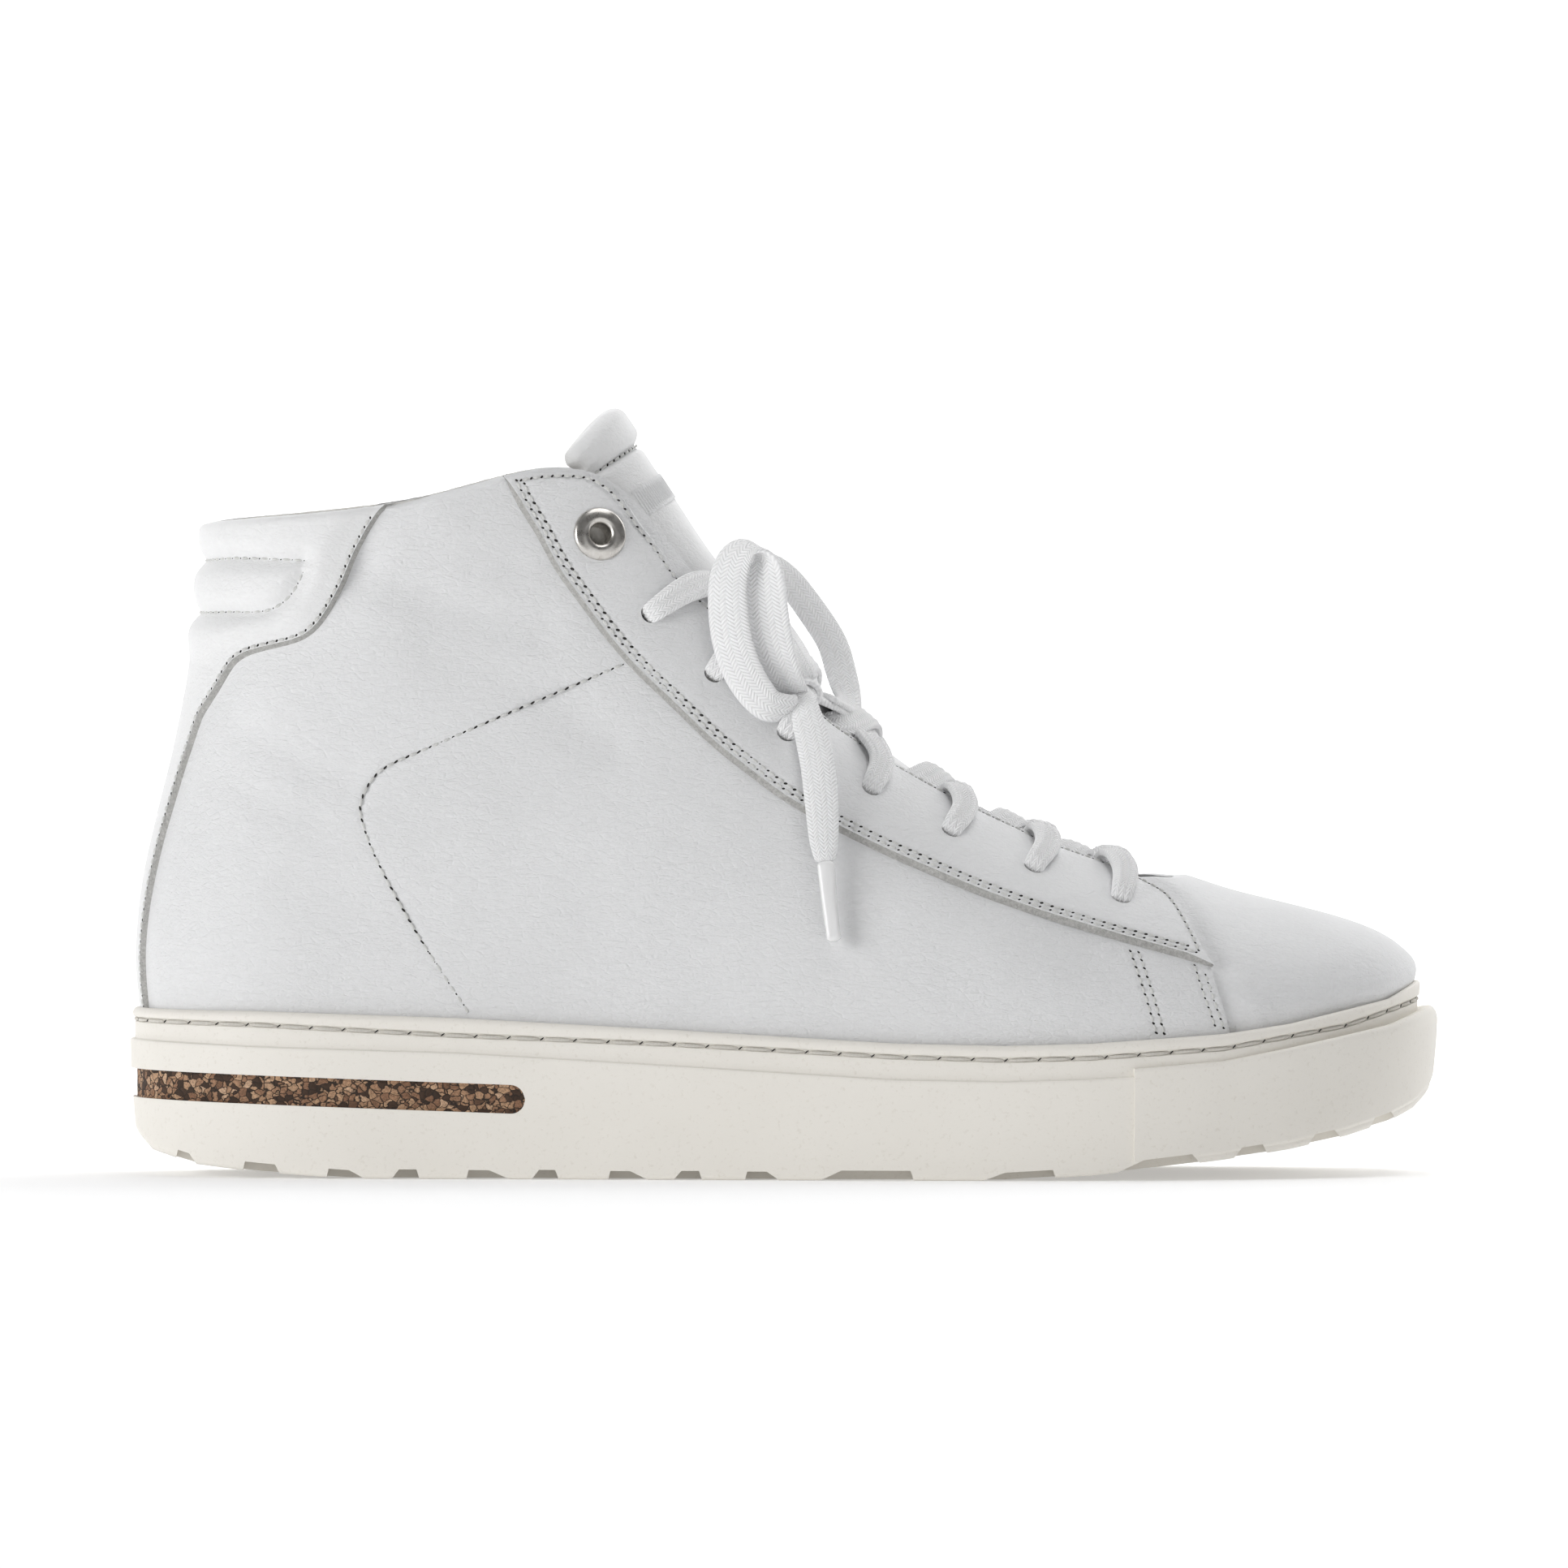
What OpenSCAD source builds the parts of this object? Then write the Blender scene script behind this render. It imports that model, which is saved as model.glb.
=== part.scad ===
// Leather high-top sneaker for a right foot, about EU size 42.
// +X points to the toe, +Y to the inner side of the foot, +Z up.
// The origin lies on the ground, under the middle of the shoe's box.

/* [Shoe] */
// Length of the cup sole over heel and toe
sole_length = 300; // [285:5:315]
// Thickness of the leather that the outer panels are cut from
leather_t = 1.4; // [1.2:0.1:1.6]
// Thickness of the inside lining
lining_t = 1; // [0.8:0.1:1.2]
// Thickness of the foam inside the collar at the heel
collar_pad_t = 6; // [4:0.5:7]
// Thickness of the heel counter and of the toe puff
stiffener_t = 1.2; // [0.9:0.1:1.5]

/* [Sole] */
// Width of the open rubber rim around the upper at its widest
rim_w = 4; // [3.5:0.1:4.5]
// Thickness of the removable footbed
footbed_t = 7; // [5:0.5:8]
// Depth of the cork inlay below the sole's wall
cork_recess = 1.6; // [1:0.1:2]
// Distance between the grooves of the tread
tread_pitch = 17.5; // [16:0.5:20]
// Depth of a tread groove
tread_depth = 2.3; // [1.5:0.1:2.5]

/* [Tongue] */
// Half width of the arch that the tongue's cross-section follows
tongue_half_w = 24; // [23:0.5:25]
// Thickness of the foam inside the tongue
tongue_pad_t = 4.5; // [3:0.5:5]

/* [Lacing] */
// Radius of a bare lace hole
lace_hole_r = 2.3; // [2.2:0.1:2.6]
// Radius of the round form that the flat lace is drawn in
lace_r = 1.3; // [1.2:0.1:1.5]
// Outer diameter of the metal eyelet
eyelet_d = 12.3; // [11:0.1:13]
// Radius of the open bore of the metal eyelet
eyelet_bore_r = 2.4; // [2.2:0.1:2.6]

/* [Hidden] */

k = sole_length / 300;
LATERAL = -1;
MEDIAL = 1;

// ---------------------------------------------------------------- upper surface
// Half net of the outer face of the upper, from the middle of the heel round to the middle
// of the toe. Each column climbs from the sole to the topline and the lacing edge:
// [x, z, y on the lateral side, y on the medial side].
UPPER_NET = [
  [[-149, 36, 0, 0], [-151, 52, 0, 0], [-148, 74, 0, 0],
   [-141, 98, 0, 0], [-136.5, 124, 0, 0], [-134, 151, 0, 0]],
  [[-145, 36, -19, 19], [-147, 52, -19, 19], [-144, 74, -19, 19],
   [-137.5, 98, -19, 19], [-133, 124, -20, 20], [-131, 152, -21, 21]],
  [[-127, 35.5, -31, 31], [-127, 52, -33, 33], [-125, 74, -33, 33],
   [-120, 98, -32, 32], [-117, 124, -33, 33], [-117, 153, -34, 34]],
  [[-104, 34.5, -36, 35], [-102, 52, -37.5, 37], [-101, 75, -37, 37],
   [-98, 100, -35.5, 35.5], [-98, 126, -36, 36], [-101, 154.5, -37.5, 37.5]],
  [[-78, 33.5, -38.5, 37], [-77, 52, -40, 39], [-77, 76, -39, 39],
   [-78, 101, -36.5, 36.5], [-80, 128, -36, 36], [-84, 156.5, -37.5, 37.5]],
  [[-50, 32, -41.5, 38.5], [-49, 51, -43, 41], [-50, 75, -41.5, 41],
   [-54, 100, -37.5, 37.5], [-59, 130, -34.5, 34.5], [-67, 162, -35, 35]],
  [[-22, 30.5, -45, 41.5], [-22, 49, -46.5, 44], [-25, 72, -44.5, 44],
   [-32, 98, -38.5, 38.5], [-39, 132, -32.5, 32.5], [-44, 167, -28, 28]],
  [[3, 29.5, -48, 45], [2, 46, -49.5, 47.5], [-2, 66, -47.5, 47],
   [-11, 90, -40.5, 40.5], [-20, 117, -31.5, 31.5], [-27, 146, -21.5, 21.5]],
  [[25, 29, -50.5, 48.5], [24, 43, -52, 50.5], [20, 60, -50, 50],
   [10, 82, -42, 43], [-1, 104, -31, 31.5], [-11, 125, -18.5, 19.5]],
  [[44, 28.5, -52, 51], [43, 41, -53.5, 53], [39, 55, -51.5, 52],
   [30, 73, -43, 45], [18, 90, -31, 33], [6, 105, -17, 19]],
  [[62, 28.5, -52.5, 53], [61, 39, -53.5, 54.5], [58, 51, -51.5, 53.5],
   [50, 65, -43, 47], [39, 79, -30.5, 35], [27, 92, -16, 20.5]],
  [[79, 29, -51, 53.5], [78.5, 38, -52, 55], [76, 48, -50, 54],
   [69, 59.5, -42, 48], [60, 70, -29.5, 37], [50, 80, -15, 22]],
  [[97, 30.5, -46.5, 52.5], [96.5, 38, -48, 54], [94, 46, -46, 53],
   [87, 56, -38, 47], [78, 65, -27, 37], [70, 71.5, -14.5, 24]],
  [[114, 33, -38.5, 48], [114, 40, -40.5, 50], [111, 47.5, -38, 48.5],
   [102, 56.5, -30, 42], [92, 64, -21, 33], [82, 69.5, -12, 23]],
  [[129, 36.5, -28, 42], [130, 43.5, -29.5, 44], [127.5, 51.5, -27.5, 41.5],
   [115, 58, -20, 34], [101, 64.5, -14, 27], [87, 70, -7.5, 19]],
  [[139.5, 40, -14, 31], [141, 47.5, -15, 32], [137, 56, -12.5, 29.5],
   [122, 61.5, -8, 24], [105, 66, -4.5, 20], [89, 70.5, -1.5, 14]],
  [[144, 42, 8.5, 8.5], [146, 50, 8.5, 8.5], [141.5, 57.5, 8.5, 8.5],
   [126, 62.5, 8.5, 8.5], [107, 66.7, 8, 8], [90, 70.8, 6.5, 6.5]]
];
last = len(UPPER_NET) - 1;
ring = 2 * last;
top = len(UPPER_NET[0]) - 1;
normal_step = 0.02;

// Weights of a uniform cubic B-spline
function weights(t) = [
  pow(1 - t, 3),
  3 * pow(t, 3) - 6 * t * t + 4,
  -3 * pow(t, 3) + 3 * t * t + 3 * t + 1,
  pow(t, 3)
] / 6;
// A run of control points with one more at each end, so that the spline reaches both ends
function with_ends(c) = let (n = len(c) - 1)
  concat([2 * c[0] - c[1]], c, [2 * c[n] - c[n - 1]]);
function spline(padded, v) = let (j = min(floor(v), len(padded) - 4))
  weights(v - j) * [for (n = [0:3]) padded[j + n]];
function column(i) = let (lateral = i <= last, c = UPPER_NET[lateral ? i : ring - i])
  with_ends([for (p = c) k * [p[0], lateral ? p[2] : p[3], p[1]]]);
UPPER = [for (i = [0:ring - 1]) column(i)];

// Point of the upper's outer face. u runs round the shoe, one unit for each column, and v climbs.
function on_upper(u, v) = let (i = floor(u))
  weights(u - i) * [for (n = [-1:2]) spline(UPPER[(i + n + ring) % ring], v)];
function upper_normal(u, v) = let (
    w = min(max(v, normal_step), top - normal_step),
    along = on_upper(u + normal_step, w) - on_upper(u - normal_step, w),
    up = on_upper(u, w + normal_step) - on_upper(u, w - normal_step),
    n = cross(along, up)
  ) n / norm(n);
function skin(u, v, height) = on_upper(u, v) + height * upper_normal(u, v);
function mirrored_u(u, side) = side < 0 ? u : ring - u;
function smooth(t) = let (c = min(max(t, 0), 1)) c * c * (3 - 2 * c);
function mix(a, b, t) = a + (b - a) * t;

// ---------------------------------------------------------------- closed shells between two grids
// Both grids have the same rows and columns. The outer one is seen from its front.
module shell(outer, inner) {
  m = len(outer);
  n = len(outer[0]);
  back = m * n;
  faces = concat(
    [for (i = [0:m - 2], j = [0:n - 2]) each let (a = i * n + j, b = a + 1, c = a + n + 1, d = a + n)
      [[a, b, c], [a, c, d], [back + a, back + c, back + b], [back + a, back + d, back + c]]],
    [for (i = [0:m - 2]) each let (a = i * n, d = a + n, b = a + n - 1, c = d + n - 1)
      [[a, d, back + d], [a, back + d, back + a], [c, b, back + b], [c, back + b, back + c]]],
    [for (j = [0:n - 2]) each let (a = j, b = j + 1, d = (m - 1) * n + j, c = d + 1)
      [[b, a, back + a], [b, back + a, back + b], [d, c, back + c], [d, back + c, back + d]]]
  );
  polyhedron(concat([for (r = outer) each r], [for (r = inner) each r]), faces, convexity = 6);
}
// place(s, t) gives [u, v] on the upper; out(u, v) and in(u, v) give the heights of the two faces
function upper_grid(m, n, place, height) = [
  for (i = [0:m]) [for (j = [0:n]) let (p = place(i / m, j / n)) skin(p[0], p[1], height(p[0], p[1]))]
];
module upper_piece(m, n, place, out, in) {
  shell(upper_grid(m, n, place, out), upper_grid(m, n, place, in));
}

// ---------------------------------------------------------------- layers of the upper
glue_gap = 0.8;
glue_line = 0.25;
// The vamp meets the quarters on this line
seam_u = 12.25;
// Front edge of the heel panel: narrow up the back, wide at the collar
function heel_edge(v) = lookup(v, [
  [0, 0.5], [1, 0.5], [2.5, 0.7], [3.2, 0.9], [3.5, 1.2], [3.7, 1.7],
  [3.9, 2.3], [4.15, 2.75], [4.6, 3.15], [5, 3.7]
]);
// Lower edge of the eyestay, from its rear corner to its front tip
function eyestay_edge(u) = lookup(u, [
  [5.05, 4.92], [5.4, 4.25], [5.8, 3.85], [6.4, 3.48], [6.85, 3.25],
  [7.5, 3.03], [8.05, 2.92], [9.1, 2.85], [10.25, 2.75], [11.4, 2.58], [12.3, 2.18]
]);
eyestay_rear = 5.05;
function eyestay_front(v) = lookup(v, [[2.18, 12.3], [3.3, 12.5], [4.1, 12.73], [5, 12.7]]);

function leather_out(u, v) = 0;
function leather_in(u, v) = -leather_t;
// Depth of the space between leather and lining: collar foam, heel counter or toe puff fill it
function collar_bump(u, v) = let (from_heel = min(u, ring - u), side = 1 - smooth((from_heel - 3.2) / 1.6))
  side * smooth((v - 3.55) / 0.5) * (1 - smooth((v - 4.55) / 0.45));
function space(u, v) = glue_gap + (collar_pad_t - glue_gap) * collar_bump(u, v)
  + stiffener_t * (1 - smooth((v - 2.2) / 0.6));
function lining_out(u, v) = -leather_t - space(u, v);
function lining_in(u, v) = lining_out(u, v) - lining_t;
function filling_out(u, v) = -leather_t - 2 * glue_line;
function filling_in(u, v) = lining_out(u, v) + glue_line;

// ---------------------------------------------------------------- lacing plan
// [u, v] of the bare lace holes on the lateral side, from the toe upwards
HOLES = [[11.75, 3.65], [10.75, 3.8], [9.85, 3.85], [8.95, 3.85], [7.95, 3.85], [7.15, 3.98], [6.45, 4.12]];
METAL_EYELET = [5.98, 4.55];
hole_reach = 12;

module along_normal(u, v, height) {
  n = upper_normal(u, v);
  translate(skin(u, v, height)) rotate([0, acos(n[2]), atan2(n[1], n[0])]) children();
}
module hole_cutters(side) {
  for (h = HOLES)
    along_normal(mirrored_u(h[0], side), h[1], -hole_reach / 2)
      cylinder(h = hole_reach, r = lace_hole_r, $fn = 24);
  along_normal(mirrored_u(METAL_EYELET[0], side), METAL_EYELET[1], -hole_reach / 2)
    cylinder(h = hole_reach, r = eyelet_barrel_r + 0.05, $fn = 24);
}

// ---------------------------------------------------------------- outer panels
module vamp() {
  color("white")
    upper_piece(24, 10, function (s, t) [mix(seam_u, ring - seam_u, s), t * top],
      function (u, v) leather_out(u, v), function (u, v) leather_in(u, v));
}
function quarter_place(side) = function (s, t) let (v = t * top, w = side < 0 ? s : 1 - s)
  [mirrored_u(mix(heel_edge(v), seam_u, w), side), v];
module quarter(side) {
  difference() {
    upper_piece(26, 15, quarter_place(side),
      function (u, v) leather_out(u, v), function (u, v) leather_in(u, v));
    hole_cutters(side);
  }
}
module quarter_lateral() { color("white") quarter(LATERAL); }
module quarter_medial() { color("white") quarter(MEDIAL); }
module heel_panel() {
  color("white")
    upper_piece(12, 15, function (s, t) let (v = t * top, e = heel_edge(v)) [mix(-e, e, s), v],
      function (u, v) leather_out(u, v), function (u, v) leather_in(u, v));
}
function eyestay_place(side) = function (s, t) let (
    w = side < 0 ? s : 1 - s,
    low_u = mix(eyestay_rear, eyestay_front(2.18), w),
    v = mix(eyestay_edge(low_u), top, t),
    u = mix(eyestay_rear, eyestay_front(v), w)
  ) [mirrored_u(u, side), v];
module eyestay(side) {
  difference() {
    upper_piece(24, 4, eyestay_place(side), function (u, v) leather_t, function (u, v) glue_line);
    hole_cutters(side);
  }
}
module eyestay_lateral() { color("white") eyestay(LATERAL); }
module eyestay_medial() { color("white") eyestay(MEDIAL); }

// ---------------------------------------------------------------- inside layers
// Woven strip glued behind the lace holes
backing_t = 0.35;
module eyestay_backing(side) {
  difference() {
    upper_piece(20, 2,
      function (s, t) let (w = side < 0 ? s : 1 - s)
        [mirrored_u(mix(5.9, 12.1, w), side), mix(3.7 - 0.3 * w, 4.7, t)],
      function (u, v) -leather_t - glue_line, function (u, v) -leather_t - glue_line - backing_t);
    hole_cutters(side);
  }
}
module eyestay_backing_lateral() { color("gainsboro") eyestay_backing(LATERAL); }
module eyestay_backing_medial() { color("gainsboro") eyestay_backing(MEDIAL); }
module heel_counter() {
  color("tan")
    upper_piece(17, 7, function (s, t) [mix(-4.25, 4.25, s), mix(1 / 3, 8 / 3, t)],
      function (u, v) filling_out(u, v), function (u, v) filling_in(u, v));
}
module toe_puff() {
  color("tan")
    upper_piece(16, 4, function (s, t) [mix(13.2, ring - 13.2, s), mix(0.1, 2.3, t)],
      function (u, v) filling_out(u, v), function (u, v) filling_in(u, v));
}
module collar_foam() {
  color("khaki")
    upper_piece(19, 4, function (s, t) [mix(-4.75, 4.75, s), mix(11 / 3, top, t)],
      function (u, v) filling_out(u, v) - glue_line * (1 - smooth((v - 4.5) / 0.4)),
      function (u, v) filling_in(u, v));
}
module quarter_lining() {
  color("ivory")
    difference() {
      upper_piece(49, 15, function (s, t) [mix(-seam_u, seam_u, s), t * top],
        function (u, v) lining_out(u, v), function (u, v) lining_in(u, v));
      hole_cutters(LATERAL);
      hole_cutters(MEDIAL);
    }
}
module vamp_lining() {
  color("ivory")
    upper_piece(24, 10, function (s, t) [mix(seam_u, ring - seam_u, s), t * top],
      function (u, v) lining_out(u, v), function (u, v) lining_in(u, v));
}

// ---------------------------------------------------------------- sole
sole_steps = 96;
tall = 70;
wide = 200;
// Distance from the upper's lower edge to the outside of the sole's wall
function rim(x) = lookup(x, [[-150 * k, 2.7], [-100 * k, rim_w], [100 * k, rim_w], [143 * k, rim_w + 3]]);
// Plan of the upper's lower edge moved outward by a distance
function plan_point(u, out) = let (
    p = on_upper(u, 0),
    d = on_upper(u + normal_step, 0) - on_upper(u - normal_step, 0),
    n = [d[1], -d[0]] / norm([d[0], d[1]])
  ) [p[0], p[1]] + out * n;
function edge_outline(out) = [for (i = [0:sole_steps - 1]) plan_point(i * ring / sole_steps, out)];
function wall_outline(out) = [
  for (i = [0:sole_steps - 1]) let (u = i * ring / sole_steps) plan_point(u, rim(on_upper(u, 0)[0]) + out)
];
// The upper bulges outward inside the rim, most along the sides
function bulge(x) = lookup(x, [[-150 * k, 0.5], [-110 * k, 0.9], [-50 * k, 1.4], [90 * k, 1.4], [143 * k, 0.6]]);
function cup_outline() = [
  for (i = [0:sole_steps - 1]) let (u = i * ring / sole_steps) plan_point(u, bulge(on_upper(u, 0)[0]))
];
module cup_block() { linear_extrude(tall) polygon(cup_outline()); }
module edge_block(out) { linear_extrude(tall) polygon(edge_outline(out)); }
module wall_block(out) { linear_extrude(tall) polygon(wall_outline(out)); }
// A solid as wide as the shoe whose side view is the children's outline
module side_cut() { rotate([90, 0, 0]) linear_extrude(wide, center = true) children(); }
// Side view between two height curves, each a list of [x, z] in 300 mm shoe lengths
PROFILE_X = [-156, -151, -148.5, -145, -135, -120, -100, -75, -50, -25, 0, 25, 50,
             70, 85, 100, 115, 128, 138, 144, 148, 151, 156];
module between(low, high, from = -156, to = 156) {
  xs = [for (x = PROFILE_X) if (x > from && x < to) x];
  across = concat([from], xs, [to]);
  polygon(k * concat(
    [for (x = across) [x, lookup(x, low)]],
    [for (i = [len(across) - 1:-1:0]) [across[i], lookup(across[i], high)]]
  ));
}
function lifted(curve, h) = [for (p = curve) [p[0], p[1] + h]];

GROUND = [[-156, 14], [-151, 11], [-148.5, 9.5], [-145, 6], [-135, 3], [-120, 1.3], [-100, 0], [50, 0],
          [70, 1.2], [85, 2.8], [100, 4.6], [115, 6.8], [128, 9.6], [138, 12.6], [144, 15.4],
          [148, 19], [151, 24], [156, 30]];
WALL_TOP = [[-156, 31.5], [-120, 30], [-75, 28.8], [-25, 26], [25, 23], [50, 22.6], [70, 23.2], [85, 24],
            [156, 40]];
RIM_TOP = [[-156, 38.5], [-120, 38.2], [-75, 36.8], [-25, 34.2], [25, 31.3], [50, 30.8], [70, 31.3],
           [100, 33.3], [115, 35.4], [138, 40.6], [146, 44.8], [156, 47]];
THREAD_LINE = [[-156, 35.8], [-120, 35], [-75, 32.8], [-25, 30.9], [25, 28.2], [50, 27.5], [70, 28],
               [100, 30], [128, 34.6], [148, 41], [156, 42]];
BUMPER_TOP = [[79.5, 25.6], [100, 27.2], [115, 30], [138, 34.8], [148, 38.6], [156, 41]];
CUP_FLOOR = [[-156, 13], [-50, 11], [0, 10], [50, 9], [85, 11.5], [115, 16], [138, 21.5], [156, 28]];
// Height of the upper's lower edge
EDGE_LINE = [[-156, 36], [-120, 35.2], [-75, 33.4], [-25, 30.7], [25, 28.9], [50, 28.5], [70, 28.7],
             [100, 30.8], [115, 33.2], [128, 36], [138, 39.4], [144, 42], [156, 46]];
// Width of the ledge under the insole board
ledge_w = 4;
bumper_from = 79.5;
bumper_t = 2.2;
bumper_proud = 0.4;
band_inset = 0.8;
thread_groove = 1.1;
thread_half = 0.45;
cork_t = 3;
cork_half_h = 3.3;
cork_front = [-62.7, 18.3];
cork_slope = -1.9;
groove_bottom_w = 3.6;
groove_flare = 1.1;

module cork_window() {
  translate(k * cork_front) rotate(cork_slope) {
    circle(r = k * cork_half_h, $fn = 48);
    translate([-100 * k, -cork_half_h * k]) square([100 * k, 2 * cork_half_h * k]);
  }
}
module tread_groove(x) {
  z = k * lookup(x / k, GROUND);
  slope = atan2(lookup(x / k + 4, GROUND) - lookup(x / k - 4, GROUND), 8);
  half = groove_bottom_w / 2;
  translate([x, z]) rotate(slope) polygon([
    [-half, tread_depth], [half, tread_depth], [half + 2 * groove_flare, -tread_depth],
    [-half - 2 * groove_flare, -tread_depth]
  ]);
}
module outsole() {
  groove_count = floor(140 * k / tread_pitch);
  color("ivory")
    difference() {
      union() {
        intersection() {
          wall_block(0);
          side_cut() between(GROUND, WALL_TOP);
        }
        intersection() {
          wall_block(-band_inset);
          side_cut() between(GROUND, RIM_TOP);
        }
      }
      intersection() {
        cup_block();
        side_cut() between(lifted(EDGE_LINE, -board_drop - board_t), lifted(RIM_TOP, 10));
      }
      intersection() {
        edge_block(-ledge_w);
        side_cut() between(CUP_FLOOR, EDGE_LINE);
      }
      intersection() {
        difference() {
          wall_block(3);
          wall_block(-cork_recess - cork_t);
        }
        side_cut() cork_window();
      }
      intersection() {
        difference() {
          wall_block(3);
          wall_block(-bumper_t);
        }
        side_cut() between(lifted(GROUND, -20), BUMPER_TOP, bumper_from);
      }
      intersection() {
        difference() {
          wall_block(3);
          wall_block(-band_inset - thread_groove);
        }
        side_cut() between(lifted(THREAD_LINE, -thread_half), lifted(THREAD_LINE, thread_half));
      }
      side_cut() for (i = [-groove_count:groove_count]) tread_groove((i + 0.5) * tread_pitch);
    }
}
module toe_bumper() {
  color("ivory")
    difference() {
      intersection() {
        wall_block(bumper_proud);
        side_cut() between(GROUND, BUMPER_TOP, bumper_from);
      }
      wall_block(-bumper_t);
      side_cut() for (i = [4:8]) tread_groove((i + 0.5) * tread_pitch);
    }
}
module cork_inlay() {
  color("saddlebrown")
    intersection() {
      difference() {
        wall_block(-cork_recess);
        wall_block(-cork_recess - cork_t);
      }
      side_cut() cork_window();
    }
}
module sidewall_thread() {
  color("beige")
    intersection() {
      difference() {
        wall_block(-band_inset - 0.2);
        wall_block(-band_inset - thread_groove);
      }
      side_cut() between(lifted(THREAD_LINE, -thread_half), lifted(THREAD_LINE, thread_half));
    }
}
board_t = 2;
board_drop = 0.6;
module midsole_filler() {
  color("wheat")
    intersection() {
      edge_block(-ledge_w);
      side_cut() between(CUP_FLOOR, lifted(EDGE_LINE, -board_drop - board_t));
    }
}
module insole_board() {
  color("burlywood")
    intersection() {
      edge_block(0);
      side_cut() between(lifted(EDGE_LINE, -board_drop - board_t), lifted(EDGE_LINE, -board_drop));
    }
}
// The footbed lies inside the lining
footbed_inset = 6.2;
cover_t = 1;
module footbed() {
  color("peru")
    intersection() {
      edge_block(-footbed_inset);
      side_cut() between(lifted(EDGE_LINE, -board_drop), lifted(EDGE_LINE, -board_drop + footbed_t));
    }
}
module footbed_cover() {
  bed_top = lifted(EDGE_LINE, -board_drop + footbed_t);
  color("ivory")
    intersection() {
      edge_block(-footbed_inset);
      side_cut() between(bed_top, lifted(bed_top, cover_t));
    }
}

// ---------------------------------------------------------------- tongue
// Middle line of the tongue's face in side view, from its root under the vamp to its top: [x, y, z]
TONGUE_LINE = with_ends(k * [[96, 6, 62], [84, 5, 66], [68, 4, 71], [50, 3, 79], [32, 1, 90.5], [14, 0, 104],
  [-2, 0, 121], [-14, 0, 138], [-24, 0, 153], [-33, 0, 166.5], [-39.5, 0, 176.5]]);
tongue_end = len(TONGUE_LINE) - 3;
tongue_drop = tongue_half_w + 3;
tongue_leather_t = 1.2;
tongue_lining_t = 0.8;
// The top bends on this line
fold_s = 7.9;
fold_gap = 0.32;
function tongue_wrap(s) = lookup(s, [[0, 50], [3, 55], [6, 58], [10, 58]]);
function tongue_forward(s) = let (
    e = normal_step,
    a = min(max(s, e), tongue_end - e),
    d = spline(TONGUE_LINE, a + e) - spline(TONGUE_LINE, a - e),
    n = [d[2], 0, -d[0]]
  ) n / norm(n);
function on_tongue(s, t, height) = let (
    turn = t * tongue_wrap(s),
    n = tongue_forward(s),
    c = spline(TONGUE_LINE, s) + height * n
  ) c - (tongue_drop + height) * (1 - cos(turn)) * n
    + [0, (tongue_half_w + height) * sin(turn), 0];
function tongue_grid(from, to, height, wrap = 1) = let (m = 10, n = 12)
  [for (i = [0:m]) [for (j = [0:n]) on_tongue(mix(from, to, j / n), wrap * (2 * i / m - 1), height)]];
module tongue_layer(from, to, out, in, wrap = 1) {
  shell(tongue_grid(from, to, out, wrap), tongue_grid(from, to, in, wrap));
}
foam_in = -tongue_leather_t - tongue_pad_t;
module tongue_leather() { color("white") tongue_layer(0, fold_s - fold_gap, 0, -tongue_leather_t); }
module tongue_foam() { color("khaki") tongue_layer(0, fold_s - fold_gap, -tongue_leather_t, foam_in); }
module tongue_lining() {
  color("ivory") tongue_layer(0, fold_s - fold_gap, foam_in, foam_in - tongue_lining_t);
}
module tongue_top_leather() { color("white") tongue_layer(fold_s, tongue_end, 0, -tongue_leather_t); }
module tongue_top_foam() { color("khaki") tongue_layer(fold_s, tongue_end, -tongue_leather_t, foam_in); }
module tongue_top_lining() {
  color("ivory") tongue_layer(fold_s, tongue_end, foam_in, foam_in - tongue_lining_t);
}
label_out = 0.75;
label_in = 0.25;
module tongue_label() { color("whitesmoke") tongue_layer(8.15, 8.6, label_out, label_in, 0.75); }

// ---------------------------------------------------------------- metal eyelets
eyelet_barrel_r = 3;
flange_t = 0.9;
washer_t = 0.6;
stack_t = leather_t + glue_gap + lining_t;
washer_gap = 0.3;
barrel_l = stack_t + leather_t + 0.2 + washer_gap + washer_t;
module metal_eyelet(side) {
  along_normal(mirrored_u(METAL_EYELET[0], side), METAL_EYELET[1], leather_t + 0.2)
    rotate_extrude($fn = 64)
      polygon([
        [eyelet_bore_r, -barrel_l], [eyelet_barrel_r, -barrel_l],
        [eyelet_barrel_r, 0], [eyelet_d / 2, 0], [eyelet_d / 2, 0.4 * flange_t],
        [eyelet_d / 2 - 0.8, flange_t], [eyelet_bore_r + 0.5, flange_t], [eyelet_bore_r, 0.5 * flange_t]
      ]);
}
module eyelet_washer(side) {
  along_normal(mirrored_u(METAL_EYELET[0], side), METAL_EYELET[1], -stack_t - washer_gap - washer_t)
    difference() {
      cylinder(h = washer_t, r = eyelet_d / 2 - 1.2, $fn = 64);
      translate([0, 0, -1]) cylinder(h = washer_t + 2, r = eyelet_barrel_r, $fn = 64);
    }
}
module metal_eyelet_lateral() { color("silver") metal_eyelet(LATERAL); }
module metal_eyelet_medial() { color("silver") metal_eyelet(MEDIAL); }
module eyelet_washer_lateral() { color("silver") eyelet_washer(LATERAL); }
module eyelet_washer_medial() { color("silver") eyelet_washer(MEDIAL); }

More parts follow.
